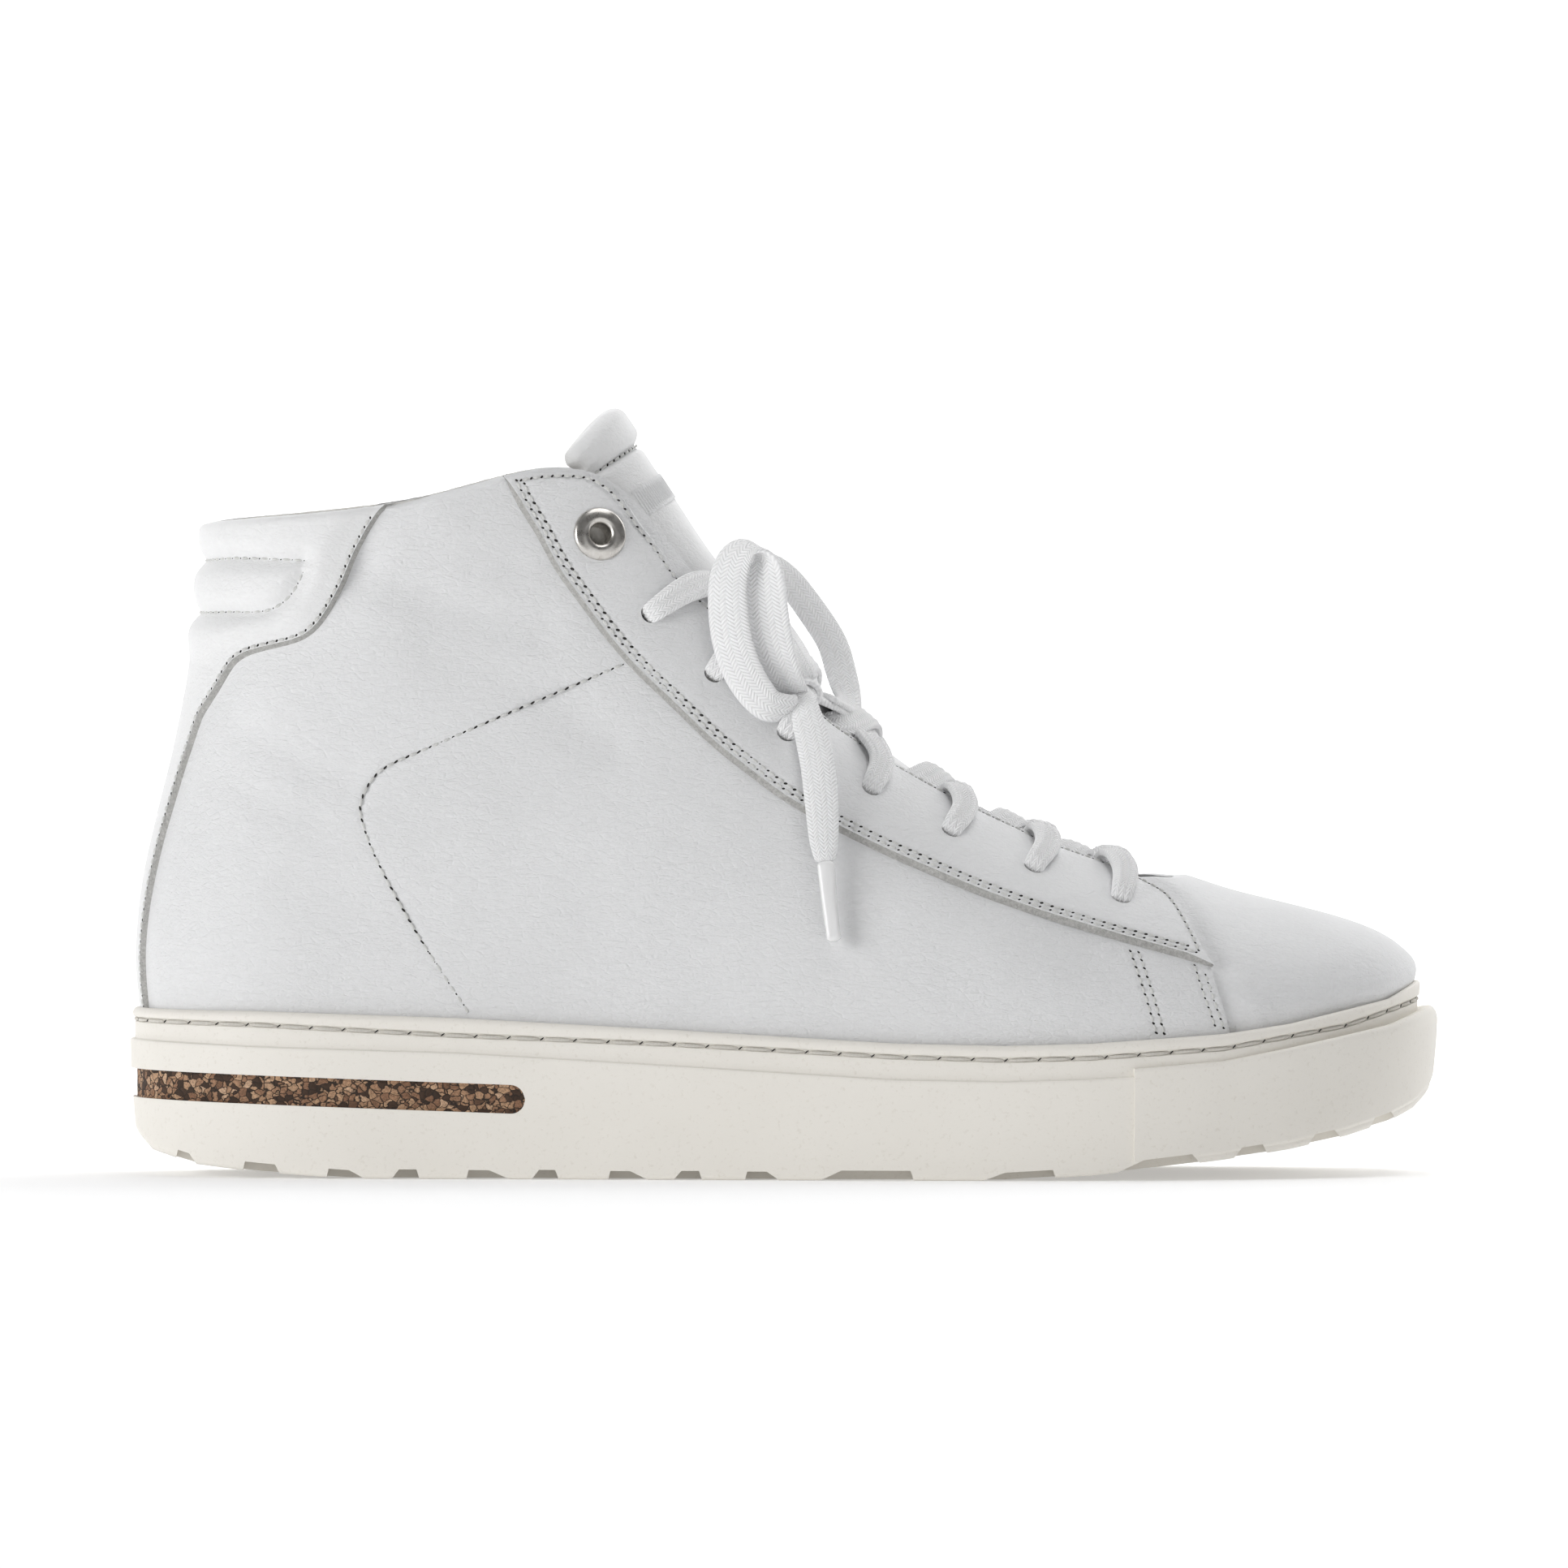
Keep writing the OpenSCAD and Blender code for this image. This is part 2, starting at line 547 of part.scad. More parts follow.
// ---------------------------------------------------------------- laces
// A tube swept along a smooth curve through hand-placed points. The curve never runs along reference.
lace_sides = 8;
ACROSS = [0.31, 0.93, 0.2];
ALONG = [0.62, 0.05, -0.78];
module lace_tube(points, rings, reference = ACROSS) {
  padded = with_ends(points);
  length = len(points) - 1;
  path = [for (i = [0:rings]) spline(padded, i * length / rings)];
  function heading(i) = let (d = path[min(i + 1, rings)] - path[max(i - 1, 0)]) d / norm(d);
  function side_of(i) = let (c = cross(heading(i), reference)) c / norm(c);
  circle_points = [for (i = [0:rings]) let (a = side_of(i), b = cross(heading(i), a))
    for (j = [0:lace_sides - 1]) let (w = j * 360 / lace_sides) path[i] + lace_r * (cos(w) * a + sin(w) * b)];
  walls = [for (i = [0:rings - 1], j = [0:lace_sides - 1]) each let (
      p = i * lace_sides + j,
      q = i * lace_sides + (j + 1) % lace_sides
    ) [[p, p + lace_sides, q], [q, p + lace_sides, q + lace_sides]]];
  ends = [[for (j = [0:lace_sides - 1]) j], [for (j = [lace_sides - 1:-1:0]) rings * lace_sides + j]];
  polyhedron(circle_points, concat(walls, ends));
}
// One strand climbs from side to side: out through a hole, over the edge, across and under
over_h = leather_t + lace_r + 0.3;
under_h = -stack_t - lace_r;
lace_lift = lace_r + 1.4;
// Position on the tongue where the strands of two rows cross
CROSSINGS = [2.1, 2.95, 3.9, 4.85, 5.7, 6.6];
// Where a lace crosses the edge of the eyestay beside a hole
function crossing_u(hole, side) = mirrored_u(hole[0] + 0.85, side);
function strand_step(row, side) = let (
    h = HOLES[row],
    next = HOLES[row + 1],
    a = mirrored_u(h[0], side),
    b = mirrored_u(next[0], -side),
    edge = skin(mix(crossing_u(h, side), crossing_u(next, side), 0.35), top, over_h),
    far_edge = skin(mix(crossing_u(h, -side), crossing_u(next, -side), 0.75), top, under_h)
  ) [
    skin(a, h[1], under_h),
    skin(a, h[1], over_h + 0.8),
    edge + [0.5, 0, 1],
    on_tongue(CROSSINGS[row] - 0.15, 0.5 * side, lace_lift),
    on_tongue(CROSSINGS[row], 0, lace_lift + 0.7 + 0.7 * side),
    on_tongue(CROSSINGS[row] + 0.15, -0.5 * side, lace_lift),
    far_edge,
    skin(b, next[1] + 0.3, under_h)
  ];
function strand(side, rows) = [for (row = [0:rows - 1]) each strand_step(row, row % 2 == 0 ? side : -side)];
KNOT = k * [6.5, -20, 111.5];
knot_r = 3.8;
// From the highest laced hole over the edge and down the tongue to the knot
function last_reach(side) = let (h = HOLES[6], a = mirrored_u(h[0], side)) [
    skin(a, h[1], under_h),
    skin(a, h[1], over_h + 0.8),
    skin(mirrored_u(7.4, side), top, over_h) + [0.5, 0, 1],
    on_tongue(6.9, 0.45 * side, lace_lift + 0.6),
    on_tongue(6.4, 0.1 * side - 0.15, lace_lift + 1),
    on_tongue(5.9, -0.45, lace_lift + 1.6),
    KNOT + k * [-1, 2, 2]
  ];
strand_rings = 78;
bar_s = 1.7;
// The bar joins the two strands under the lowest pair of holes
module lace_bar() {
  first = HOLES[0][0];
  low = HOLES[0][1];
  start = [
    skin(first, low + 0.2, under_h), skin(first, low + 0.5, under_h), skin(first + 0.7, top, under_h),
    on_tongue(bar_s, -0.5, lace_lift), on_tongue(bar_s, 0, lace_lift), on_tongue(bar_s, 0.5, lace_lift),
    skin(mirrored_u(first + 0.7, MEDIAL), top, under_h), skin(mirrored_u(first, MEDIAL), low + 0.5, under_h),
    skin(mirrored_u(first, MEDIAL), low + 0.2, under_h)
  ];
  color("white") lace_tube(start, 20, ALONG);
}
module lace_strand(side) {
  color("white") lace_tube(concat(strand(side, 6), last_reach(side)), strand_rings, ALONG);
}
module lace_strand_a() { lace_strand(LATERAL); }
module lace_strand_b() { lace_strand(MEDIAL); }
module lace_knot() {
  color("white") translate(KNOT) sphere(r = knot_r, $fn = 24);
}
// Routes of the free laces, from the knot and, for the loops, back to it
NEAR_LOOP = k * [[2, -26, 110], [-4, -35.5, 109.5], [-9, -35.5, 115.5], [-13, -33.5, 124], [-16, -31, 133],
  [-15.5, -29, 140], [-12, -26, 144], [-8, -23, 144.5], [-4, -21, 140], [-1, -20.5, 131],
  [2, -20.5, 122], [5, -20, 115]];
FAR_LOOP = k * [[9, -15, 112.5], [13, -7, 111.5], [16.5, 2, 110], [16.5, 11, 112], [12.5, 17, 120], [7, 20, 128],
  [1, 22, 136], [-4.5, 21, 141], [-7.5, 17, 140], [-6, 11, 136], [-1, 4, 130], [4, -6, 122], [6.5, -15, 115.5]];
NEAR_END = k * [[5.5, -24, 109], [7, -29.5, 106], [8, -35, 100.5], [8.5, -40.5, 93.5], [8.7, -45.5, 85.5],
  [9, -49, 77.5], [9.4, -50.6, 72.5]];
FAR_END = k * [[10, -16, 110.5], [15, -6, 108], [16, 6, 106.5], [14, 16, 106.5], [11.5, 24, 106], [9.5, 32, 102],
  [9, 39, 96], [8.8, 45.4, 86.5], [9.2, 49.5, 77.5], [9.5, 51.2, 72.5]];
NEAR_AGLET = k * [[9.4, -50.6, 72.5], [11.2, -53.2, 54.5]];
FAR_AGLET = k * [[9.5, 51.2, 72.5], [11, 53.2, 54.5]];
aglet_r = 1.5;
module bow_loop_near() { color("white") lace_tube(NEAR_LOOP, 24); }
module bow_loop_far() { color("white") lace_tube(FAR_LOOP, 24, [0.8, 0.1, 0.6]); }
module lace_end_near() { color("white") lace_tube(NEAR_END, 12, [1, 0, 0]); }
module lace_end_far() { color("white") lace_tube(FAR_END, 16, [0.9, 0, 0.45]); }
module aglet(ends) {
  d = ends[1] - ends[0];
  translate(ends[0]) rotate([0, acos(d[2] / norm(d)), atan2(d[1], d[0])])
    cylinder(h = norm(d), r = aglet_r, $fn = 24);
}
module aglet_near() { color("gainsboro") aglet(NEAR_AGLET); }
module aglet_far() { color("gainsboro") aglet(FAR_AGLET); }

outsole();
toe_bumper();
cork_inlay();
sidewall_thread();
midsole_filler();
insole_board();
footbed();
footbed_cover();
vamp();
quarter_lateral();
quarter_medial();
heel_panel();
eyestay_lateral();
eyestay_medial();
eyestay_backing_lateral();
eyestay_backing_medial();
heel_counter();
toe_puff();
collar_foam();
quarter_lining();
vamp_lining();
tongue_leather();
tongue_foam();
tongue_lining();
tongue_top_leather();
tongue_top_foam();
tongue_top_lining();
tongue_label();
metal_eyelet_lateral();
metal_eyelet_medial();
eyelet_washer_lateral();
eyelet_washer_medial();
lace_bar();
lace_strand_a();
lace_strand_b();
lace_knot();
bow_loop_near();
bow_loop_far();
lace_end_near();
lace_end_far();
aglet_near();
aglet_far();
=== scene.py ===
import math

import bmesh
import bpy
import numpy as np
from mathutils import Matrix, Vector, noise
from mathutils.kdtree import KDTree


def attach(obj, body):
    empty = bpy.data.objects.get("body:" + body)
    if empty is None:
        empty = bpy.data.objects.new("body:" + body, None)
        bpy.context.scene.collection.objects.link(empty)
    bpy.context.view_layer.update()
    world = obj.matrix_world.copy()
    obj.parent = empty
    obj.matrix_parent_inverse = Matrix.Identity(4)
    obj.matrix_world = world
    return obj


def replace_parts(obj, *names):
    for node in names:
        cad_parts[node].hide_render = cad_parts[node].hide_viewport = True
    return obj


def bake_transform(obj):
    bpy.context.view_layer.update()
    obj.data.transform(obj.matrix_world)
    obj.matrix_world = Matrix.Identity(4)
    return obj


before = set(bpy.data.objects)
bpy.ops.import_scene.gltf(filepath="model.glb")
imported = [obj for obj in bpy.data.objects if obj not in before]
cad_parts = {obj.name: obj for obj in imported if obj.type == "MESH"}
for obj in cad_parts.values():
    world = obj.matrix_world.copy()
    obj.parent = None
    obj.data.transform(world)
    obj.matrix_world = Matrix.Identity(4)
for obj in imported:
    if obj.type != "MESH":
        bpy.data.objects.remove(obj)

# Lengths in this file are millimetres; make() turns them into metres.
scene = bpy.context.scene
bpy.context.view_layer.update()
MM = 0.001
SHOE = "shoe"
FLAP = "tongue_flap"
LATERAL, MEDIAL = -1, 1
SIDES = ((LATERAL, "lateral"), (MEDIAL, "medial"))

# ---------------------------------------------------------------- camera
VIEW_TARGET = (-0.3, -24, 89.9)
VIEW_DISTANCE = 6000
VIEW_ELEVATION = 1.0
VIEW_WIDTH = 358.8
SENSOR = 36


def add_camera():
    data = bpy.data.cameras.new("camera")
    data.sensor_width = SENSOR
    data.lens = SENSOR * VIEW_DISTANCE / VIEW_WIDTH
    data.clip_end = 50
    camera = bpy.data.objects.new("camera", data)
    scene.collection.objects.link(camera)
    target = Vector(VIEW_TARGET) * MM
    e = math.radians(VIEW_ELEVATION)
    away = Vector((0, -math.cos(e), math.sin(e)))
    camera.location = target + away * VIEW_DISTANCE * MM
    camera.rotation_euler = away.to_track_quat("Z", "Y").to_euler()
    scene.camera = camera


add_camera()


# ---------------------------------------------------------------- small tools
def smooth(t):
    t = np.clip(t, 0, 1)
    return t * t * (3 - 2 * t)


def bell(d, width):
    return np.exp(-((d / width) ** 2))


def unit(a):
    return a / np.maximum(np.linalg.norm(a, axis=-1, keepdims=True), 1e-9)


def grid_faces(m, n, base=0, flip=False, wrap=False):
    """Quads of an m by n grid of points; wrap joins the last row to the first."""
    rows = np.arange(m if wrap else m - 1)
    i, j = np.meshgrid(rows, np.arange(n - 1), indexing="ij")
    a = base + i * n + j
    d = base + ((i + 1) % m) * n + j
    quads = np.stack([a, a + 1, d + 1, d], -1).reshape(-1, 4)
    return quads[:, ::-1] if flip else quads


def make(name, points, faces, materials, body=SHOE, face_slot=None, sharp=35, merge=0.0, uv=None):
    """A mesh object that rides on a body. points are in millimetres."""
    mesh = bpy.data.meshes.new(name)
    mesh.from_pydata((np.asarray(points, float) * MM).tolist(), [], [list(f) for f in faces])
    obj = bpy.data.objects.new(name, mesh)
    scene.collection.objects.link(obj)
    materials = materials if isinstance(materials, (list, tuple)) else [materials]
    for m in materials:
        mesh.materials.append(m)
    if face_slot is not None:
        mesh.polygons.foreach_set("material_index", np.asarray(face_slot, np.int32))
    if uv is not None:
        layer = mesh.uv_layers.new(name="along")
        loops = np.zeros(len(mesh.loops), np.int32)
        mesh.loops.foreach_get("vertex_index", loops)
        layer.data.foreach_set("uv", np.asarray(uv, np.float32)[loops].ravel())
    if merge:
        work = bmesh.new()
        work.from_mesh(mesh)
        bmesh.ops.remove_doubles(work, verts=work.verts, dist=merge * MM)
        bmesh.ops.dissolve_degenerate(work, edges=work.edges, dist=1e-6)
        work.to_mesh(mesh)
        work.free()
    mesh.polygons.foreach_set("use_smooth", np.ones(len(mesh.polygons), bool))
    mesh.set_sharp_from_angle(angle=math.radians(sharp))
    mesh.update()
    if body:
        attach(obj, body)
    return obj


def face_outward(obj):
    work = bmesh.new()
    work.from_mesh(obj.data)
    bmesh.ops.recalc_face_normals(work, faces=work.faces)
    work.to_mesh(obj.data)
    work.free()


def shell(outer, inner, wall_rows=3, flip=False, jitter=0.0, seed=1):
    """Closed solid between two grids. The slot of a face is 1 on the wall, but 0 along its last row."""
    m, n, _ = outer.shape
    points = [outer.reshape(-1, 3), inner.reshape(-1, 3)]
    faces = [grid_faces(m, n, 0, flip), grid_faces(m, n, m * n, not flip)]
    rim = np.concatenate([
        np.arange(0, n - 1), np.arange(n - 1, m * n - 1, n),
        np.arange(m * n - 1, (m - 1) * n, -1), np.arange((m - 1) * n, 0, -n)
    ])
    a, b = points[0][rim], points[1][rim]
    rough = np.random.default_rng(seed).normal(0, jitter, (wall_rows, len(rim), 3))
    base = 2 * m * n
    ids = [rim]
    for r in range(1, wall_rows):
        t = r / wall_rows
        points.append(a * (1 - t) + b * t + rough[r])
        ids.append(base + np.arange(len(rim)))
        base += len(rim)
    ids.append(rim + m * n)
    walls = []
    for top_row, low_row in zip(ids[:-1], ids[1:]):
        q = np.stack([top_row, low_row, np.roll(low_row, -1), np.roll(top_row, -1)], -1)
        walls.append(q[:, ::-1] if flip else q)
    raw = np.ones(len(rim), int)
    raw[n + m - 2:2 * n + m - 3] = 0
    slots = np.concatenate([np.zeros(len(faces[0]) * 2, int), np.tile(raw, len(walls))])
    return np.concatenate(points), np.concatenate(faces + walls), slots


def catmull(points, per=10):
    """A smooth curve through the points."""
    p = np.asarray(points, float)
    p = np.concatenate([[2 * p[0] - p[1]], p, [2 * p[-1] - p[-2]]])
    t = np.linspace(0, 1, per, endpoint=False)[:, None]
    out = []
    for a, b, c, d in zip(p[:-3], p[1:-2], p[2:-1], p[3:]):
        square, cube = 2 * a - 5 * b + 4 * c - d, 3 * b - a - 3 * c + d
        out.append(0.5 * (2 * b + (c - a) * t + square * t**2 + cube * t**3))
    return np.concatenate(out + [p[-2:-1]])


def arc_lengths(p):
    return np.concatenate([[0], np.cumsum(np.linalg.norm(np.diff(p, axis=0), axis=1))])


def resample(values, lengths, step=None, count=None):
    """values at equal steps of the given lengths."""
    total = lengths[-1]
    n = count or max(2, int(round(total / step)) + 1)
    s = np.linspace(0, total, n)
    return np.stack([np.interp(s, lengths, values[:, k]) for k in range(values.shape[1])], -1)


def even(points, step):
    return resample(points, arc_lengths(points), step)


class Near:
    """Distance from points to a set of curves."""

    STEP = 0.4

    def __init__(self, curves):
        pts = np.concatenate([even(c, self.STEP) for c in curves])
        self.tree = KDTree(len(pts))
        for i, p in enumerate(pts):
            self.tree.insert(p, i)
        self.tree.balance()

    def __call__(self, points):
        flat = points.reshape(-1, 3)
        return np.array([self.tree.find(p)[2] for p in flat.tolist()]).reshape(points.shape[:-1])


# ---------------------------------------------------------------- surface of the upper
# The same net as in the CAD model: columns from the heel to the toe, each
# climbing from the sole to the topline: x, z, y lateral, y medial.
UPPER_NET = [
    [[-149, 36, 0, 0], [-151, 52, 0, 0], [-148, 74, 0, 0], [-141, 98, 0, 0], [-136.5, 124, 0, 0], [-134, 151, 0, 0]],
    [[-145, 36, -19, 19], [-147, 52, -19, 19], [-144, 74, -19, 19],
     [-137.5, 98, -19, 19], [-133, 124, -20, 20], [-131, 152, -21, 21]],
    [[-127, 35.5, -31, 31], [-127, 52, -33, 33], [-125, 74, -33, 33],
     [-120, 98, -32, 32], [-117, 124, -33, 33], [-117, 153, -34, 34]],
    [[-104, 34.5, -36, 35], [-102, 52, -37.5, 37], [-101, 75, -37, 37],
     [-98, 100, -35.5, 35.5], [-98, 126, -36, 36], [-101, 154.5, -37.5, 37.5]],
    [[-78, 33.5, -38.5, 37], [-77, 52, -40, 39], [-77, 76, -39, 39],
     [-78, 101, -36.5, 36.5], [-80, 128, -36, 36], [-84, 156.5, -37.5, 37.5]],
    [[-50, 32, -41.5, 38.5], [-49, 51, -43, 41], [-50, 75, -41.5, 41],
     [-54, 100, -37.5, 37.5], [-59, 130, -34.5, 34.5], [-67, 162, -35, 35]],
    [[-22, 30.5, -45, 41.5], [-22, 49, -46.5, 44], [-25, 72, -44.5, 44],
     [-32, 98, -38.5, 38.5], [-39, 132, -32.5, 32.5], [-44, 167, -28, 28]],
    [[3, 29.5, -48, 45], [2, 46, -49.5, 47.5], [-2, 66, -47.5, 47],
     [-11, 90, -40.5, 40.5], [-20, 117, -31.5, 31.5], [-27, 146, -21.5, 21.5]],
    [[25, 29, -50.5, 48.5], [24, 43, -52, 50.5], [20, 60, -50, 50],
     [10, 82, -42, 43], [-1, 104, -31, 31.5], [-11, 125, -18.5, 19.5]],
    [[44, 28.5, -52, 51], [43, 41, -53.5, 53], [39, 55, -51.5, 52],
     [30, 73, -43, 45], [18, 90, -31, 33], [6, 105, -17, 19]],
    [[62, 28.5, -52.5, 53], [61, 39, -53.5, 54.5], [58, 51, -51.5, 53.5],
     [50, 65, -43, 47], [39, 79, -30.5, 35], [27, 92, -16, 20.5]],
    [[79, 29, -51, 53.5], [78.5, 38, -52, 55], [76, 48, -50, 54],
     [69, 59.5, -42, 48], [60, 70, -29.5, 37], [50, 80, -15, 22]],
    [[97, 30.5, -46.5, 52.5], [96.5, 38, -48, 54], [94, 46, -46, 53],
     [87, 56, -38, 47], [78, 65, -27, 37], [70, 71.5, -14.5, 24]],
    [[114, 33, -38.5, 48], [114, 40, -40.5, 50], [111, 47.5, -38, 48.5],
     [102, 56.5, -30, 42], [92, 64, -21, 33], [82, 69.5, -12, 23]],
    [[129, 36.5, -28, 42], [130, 43.5, -29.5, 44], [127.5, 51.5, -27.5, 41.5],
     [115, 58, -20, 34], [101, 64.5, -14, 27], [87, 70, -7.5, 19]],
    [[139.5, 40, -14, 31], [141, 47.5, -15, 32], [137, 56, -12.5, 29.5],
     [122, 61.5, -8, 24], [105, 66, -4.5, 20], [89, 70.5, -1.5, 14]],
    [[144, 42, 8.5, 8.5], [146, 50, 8.5, 8.5], [141.5, 57.5, 8.5, 8.5],
     [126, 62.5, 8.5, 8.5], [107, 66.7, 8, 8], [90, 70.8, 6.5, 6.5]],
]
LAST = len(UPPER_NET) - 1
RING = 2 * LAST
TOP = 5
SEAM_U = 12.25


def padded_ends(c):
    return np.concatenate([2 * c[:1] - c[1:2], c, 2 * c[-1:] - c[-2:-1]])


def control_columns():
    half = np.asarray(UPPER_NET, float)
    lateral = half[:, :, [0, 2, 1]]
    medial = half[LAST - 1:0:-1][:, :, [0, 3, 1]]
    return np.stack([padded_ends(c) for c in np.concatenate([lateral, medial])])


CONTROL = control_columns()


def weights(t):
    return np.stack([(1 - t) ** 3, 3 * t**3 - 6 * t**2 + 4, -3 * t**3 + 3 * t**2 + 3 * t + 1, t**3], -1) / 6


COLLAR_DROP, COLLAR_LAST_U, COLLAR_FIRST_V = 1.9, 5.6, 3.8
TOE_DROP, TOE_FIRST_U, TOE_FIRST_V = 2.3, 12.2, 0.3


def settle(u, v):
    """How far the real leather sinks below the CAD's plain surface, at the collar and over the toe."""
    own = np.abs((u + LAST) % RING - LAST)
    collar = (1 - smooth((own - COLLAR_LAST_U) / 1.0)) * smooth((v - COLLAR_FIRST_V) / 1.2)
    toe = smooth((own - TOE_FIRST_U) / 3) * smooth((v - TOE_FIRST_V) / 1.4) * (1 - 0.4 * smooth((v - 4) / 1))
    return COLLAR_DROP * collar + TOE_DROP * toe


def surface(u, v):
    u, v = np.broadcast_arrays(np.asarray(u, float), np.asarray(v, float))
    i = np.floor(u).astype(int)
    v = np.clip(v, 0, TOP)
    j = np.minimum(np.floor(v).astype(int), TOP - 1)
    a, b = weights(u - i), weights(v - j)
    out = 0
    for m in range(4):
        for n in range(4):
            out = out + (a[..., m] * b[..., n])[..., None] * CONTROL[(i + m - 1) % RING, j + n]
    out[..., 2] -= settle(u, v)
    return out


STEP = 0.02


def slopes(u, v):
    v = np.clip(v, STEP, TOP - STEP)
    along = (surface(u + STEP, v) - surface(u - STEP, v)) / (2 * STEP)
    up = (surface(u, v + STEP) - surface(u, v - STEP)) / (2 * STEP)
    return along, up


def normal(u, v):
    along, up = slopes(u, v)
    return unit(np.cross(along, up))


def skin(u, v, height=0.0):
    return surface(u, v) + np.asarray(height, float)[..., None] * normal(u, v)


def mirrored(uv, side):
    """A lateral [u, v] curve on the wanted side."""
    uv = np.array(uv, float)
    if side > 0:
        uv[..., 0] = RING - uv[..., 0]
    return uv


def invert(xz):
    """[u, v] on the lateral side of the points with this side view."""
    xz = np.asarray(xz, float)
    gu, gv = np.meshgrid(np.linspace(0, LAST, 241), np.linspace(0, TOP, 81), indexing="ij")
    g = surface(gu, gv)[..., [0, 2]].reshape(-1, 2)
    near = np.array([np.argmin(((g - p) ** 2).sum(1)) for p in xz])
    u, v = gu.ravel()[near], gv.ravel()[near]
    for _ in range(12):
        p = surface(u, v)[..., [0, 2]]
        along, up = slopes(u, v)
        a, b, c, d = along[:, 0], up[:, 0], along[:, 2], up[:, 2]
        det = a * d - b * c
        det = np.where(np.abs(det) < 1, np.sign(det + 1e-9), det)
        e = xz - p
        u = u + np.clip((d * e[:, 0] - b * e[:, 1]) / det, -0.2, 0.2)
        v = np.clip(v + np.clip((a * e[:, 1] - c * e[:, 0]) / det, -0.2, 0.2), 0, TOP)
    return np.stack([u, v], -1)


def along_skin(uv, step=None, count=None):
    """The [u, v] curve at equal steps on the surface."""
    return resample(uv, arc_lengths(surface(uv[:, 0], uv[:, 1])), step, count)


def uv_curve(xz, step=0.8):
    """[u, v] along a line given by its side view, at equal steps on the surface."""
    return along_skin(invert(catmull(xz)), step)


def shift(uv, distance):
    """The curve moved sideways on the surface, to the left of its run as seen from outside."""
    p = surface(uv[:, 0], uv[:, 1])
    run = unit(np.gradient(p, axis=0))
    side = np.cross(normal(uv[:, 0], uv[:, 1]), run) * np.asarray(distance, float)[..., None]
    along, up = slopes(uv[:, 0], uv[:, 1])
    aa, ab, bb = (along * along).sum(1), (along * up).sum(1), (up * up).sum(1)
    pa, pb = (along * side).sum(1), (up * side).sum(1)
    det = aa * bb - ab * ab
    moved = uv + np.stack([(bb * pa - ab * pb) / det, (aa * pb - ab * pa) / det], -1)
    moved[:, 1] = np.clip(moved[:, 1], 0, TOP)
    return moved


# ---------------------------------------------------------------- materials
def new_material(name):
    m = bpy.data.materials.new(name)
    m.use_nodes = True
    return m, m.node_tree, m.node_tree.nodes["Principled BSDF"]


def feed(tree, sockets, values):
    """Links each named socket to another one, or sets its value."""
    for key, value in values.items():
        if isinstance(value, bpy.types.NodeSocket):
            tree.links.new(value, sockets[key])
        else:
            sockets[key].default_value = value


def node(tree, kind, inputs=None, **settings):
    n = tree.nodes.new("ShaderNode" + kind)
    for key, value in settings.items():
        setattr(n, key, value)
    feed(tree, n.inputs, inputs or {})
    return n


def ramp(tree, fac, stops):
    n = node(tree, "ValToRGB", {"Fac": fac})
    while len(n.color_ramp.elements) < len(stops):
        n.color_ramp.elements.new(0.5)
    for e, (at, color) in zip(n.color_ramp.elements, stops):
        e.position = at
        e.color = (*color, 1)
    return n.outputs["Color"]


def mixed(tree, fac, a, b):
    a, b = (c if isinstance(c, bpy.types.NodeSocket) else (*c, 1) for c in (a, b))
    return node(tree, "Mix", {0: fac, 6: a, 7: b}, data_type="RGBA").outputs[2]


def bumps(tree, shader, layers):
    """Stacked bumps: (height socket, strength, distance in metres)."""
    last = None
    for height, strength, distance in layers:
        inputs = {"Height": height, "Strength": strength, "Distance": distance}
        if last:
            inputs["Normal"] = last
        last = node(tree, "Bump", inputs).outputs["Normal"]
    tree.links.new(last, shader.inputs["Normal"])


def coordinates(tree, scale=(1, 1, 1)):
    place = node(tree, "TexCoord").outputs["Object"]
    return node(tree, "Mapping", {"Vector": place, "Scale": scale}).outputs["Vector"]


def noise_of(tree, where, scale, detail=4, roughness=0.55, distortion=0.0):
    return node(tree, "TexNoise", {"Vector": where, "Scale": scale, "Detail": detail,
                                   "Roughness": roughness, "Distortion": distortion}).outputs["Fac"]


def cells_of(tree, where, scale, feature="F1", output="Distance"):
    return node(tree, "TexVoronoi", {"Vector": where, "Scale": scale}, feature=feature).outputs[output]


def spread(tree, value, low, high):
    """A value of 0 to 1 as one of low to high."""
    return node(tree, "MapRange", {"Value": value, "To Min": low, "To Max": high}).outputs["Result"]


def sum_of(tree, kind, a, b=0.0):
    return node(tree, "Math", {0: a, 1: b}, operation=kind).outputs[0]


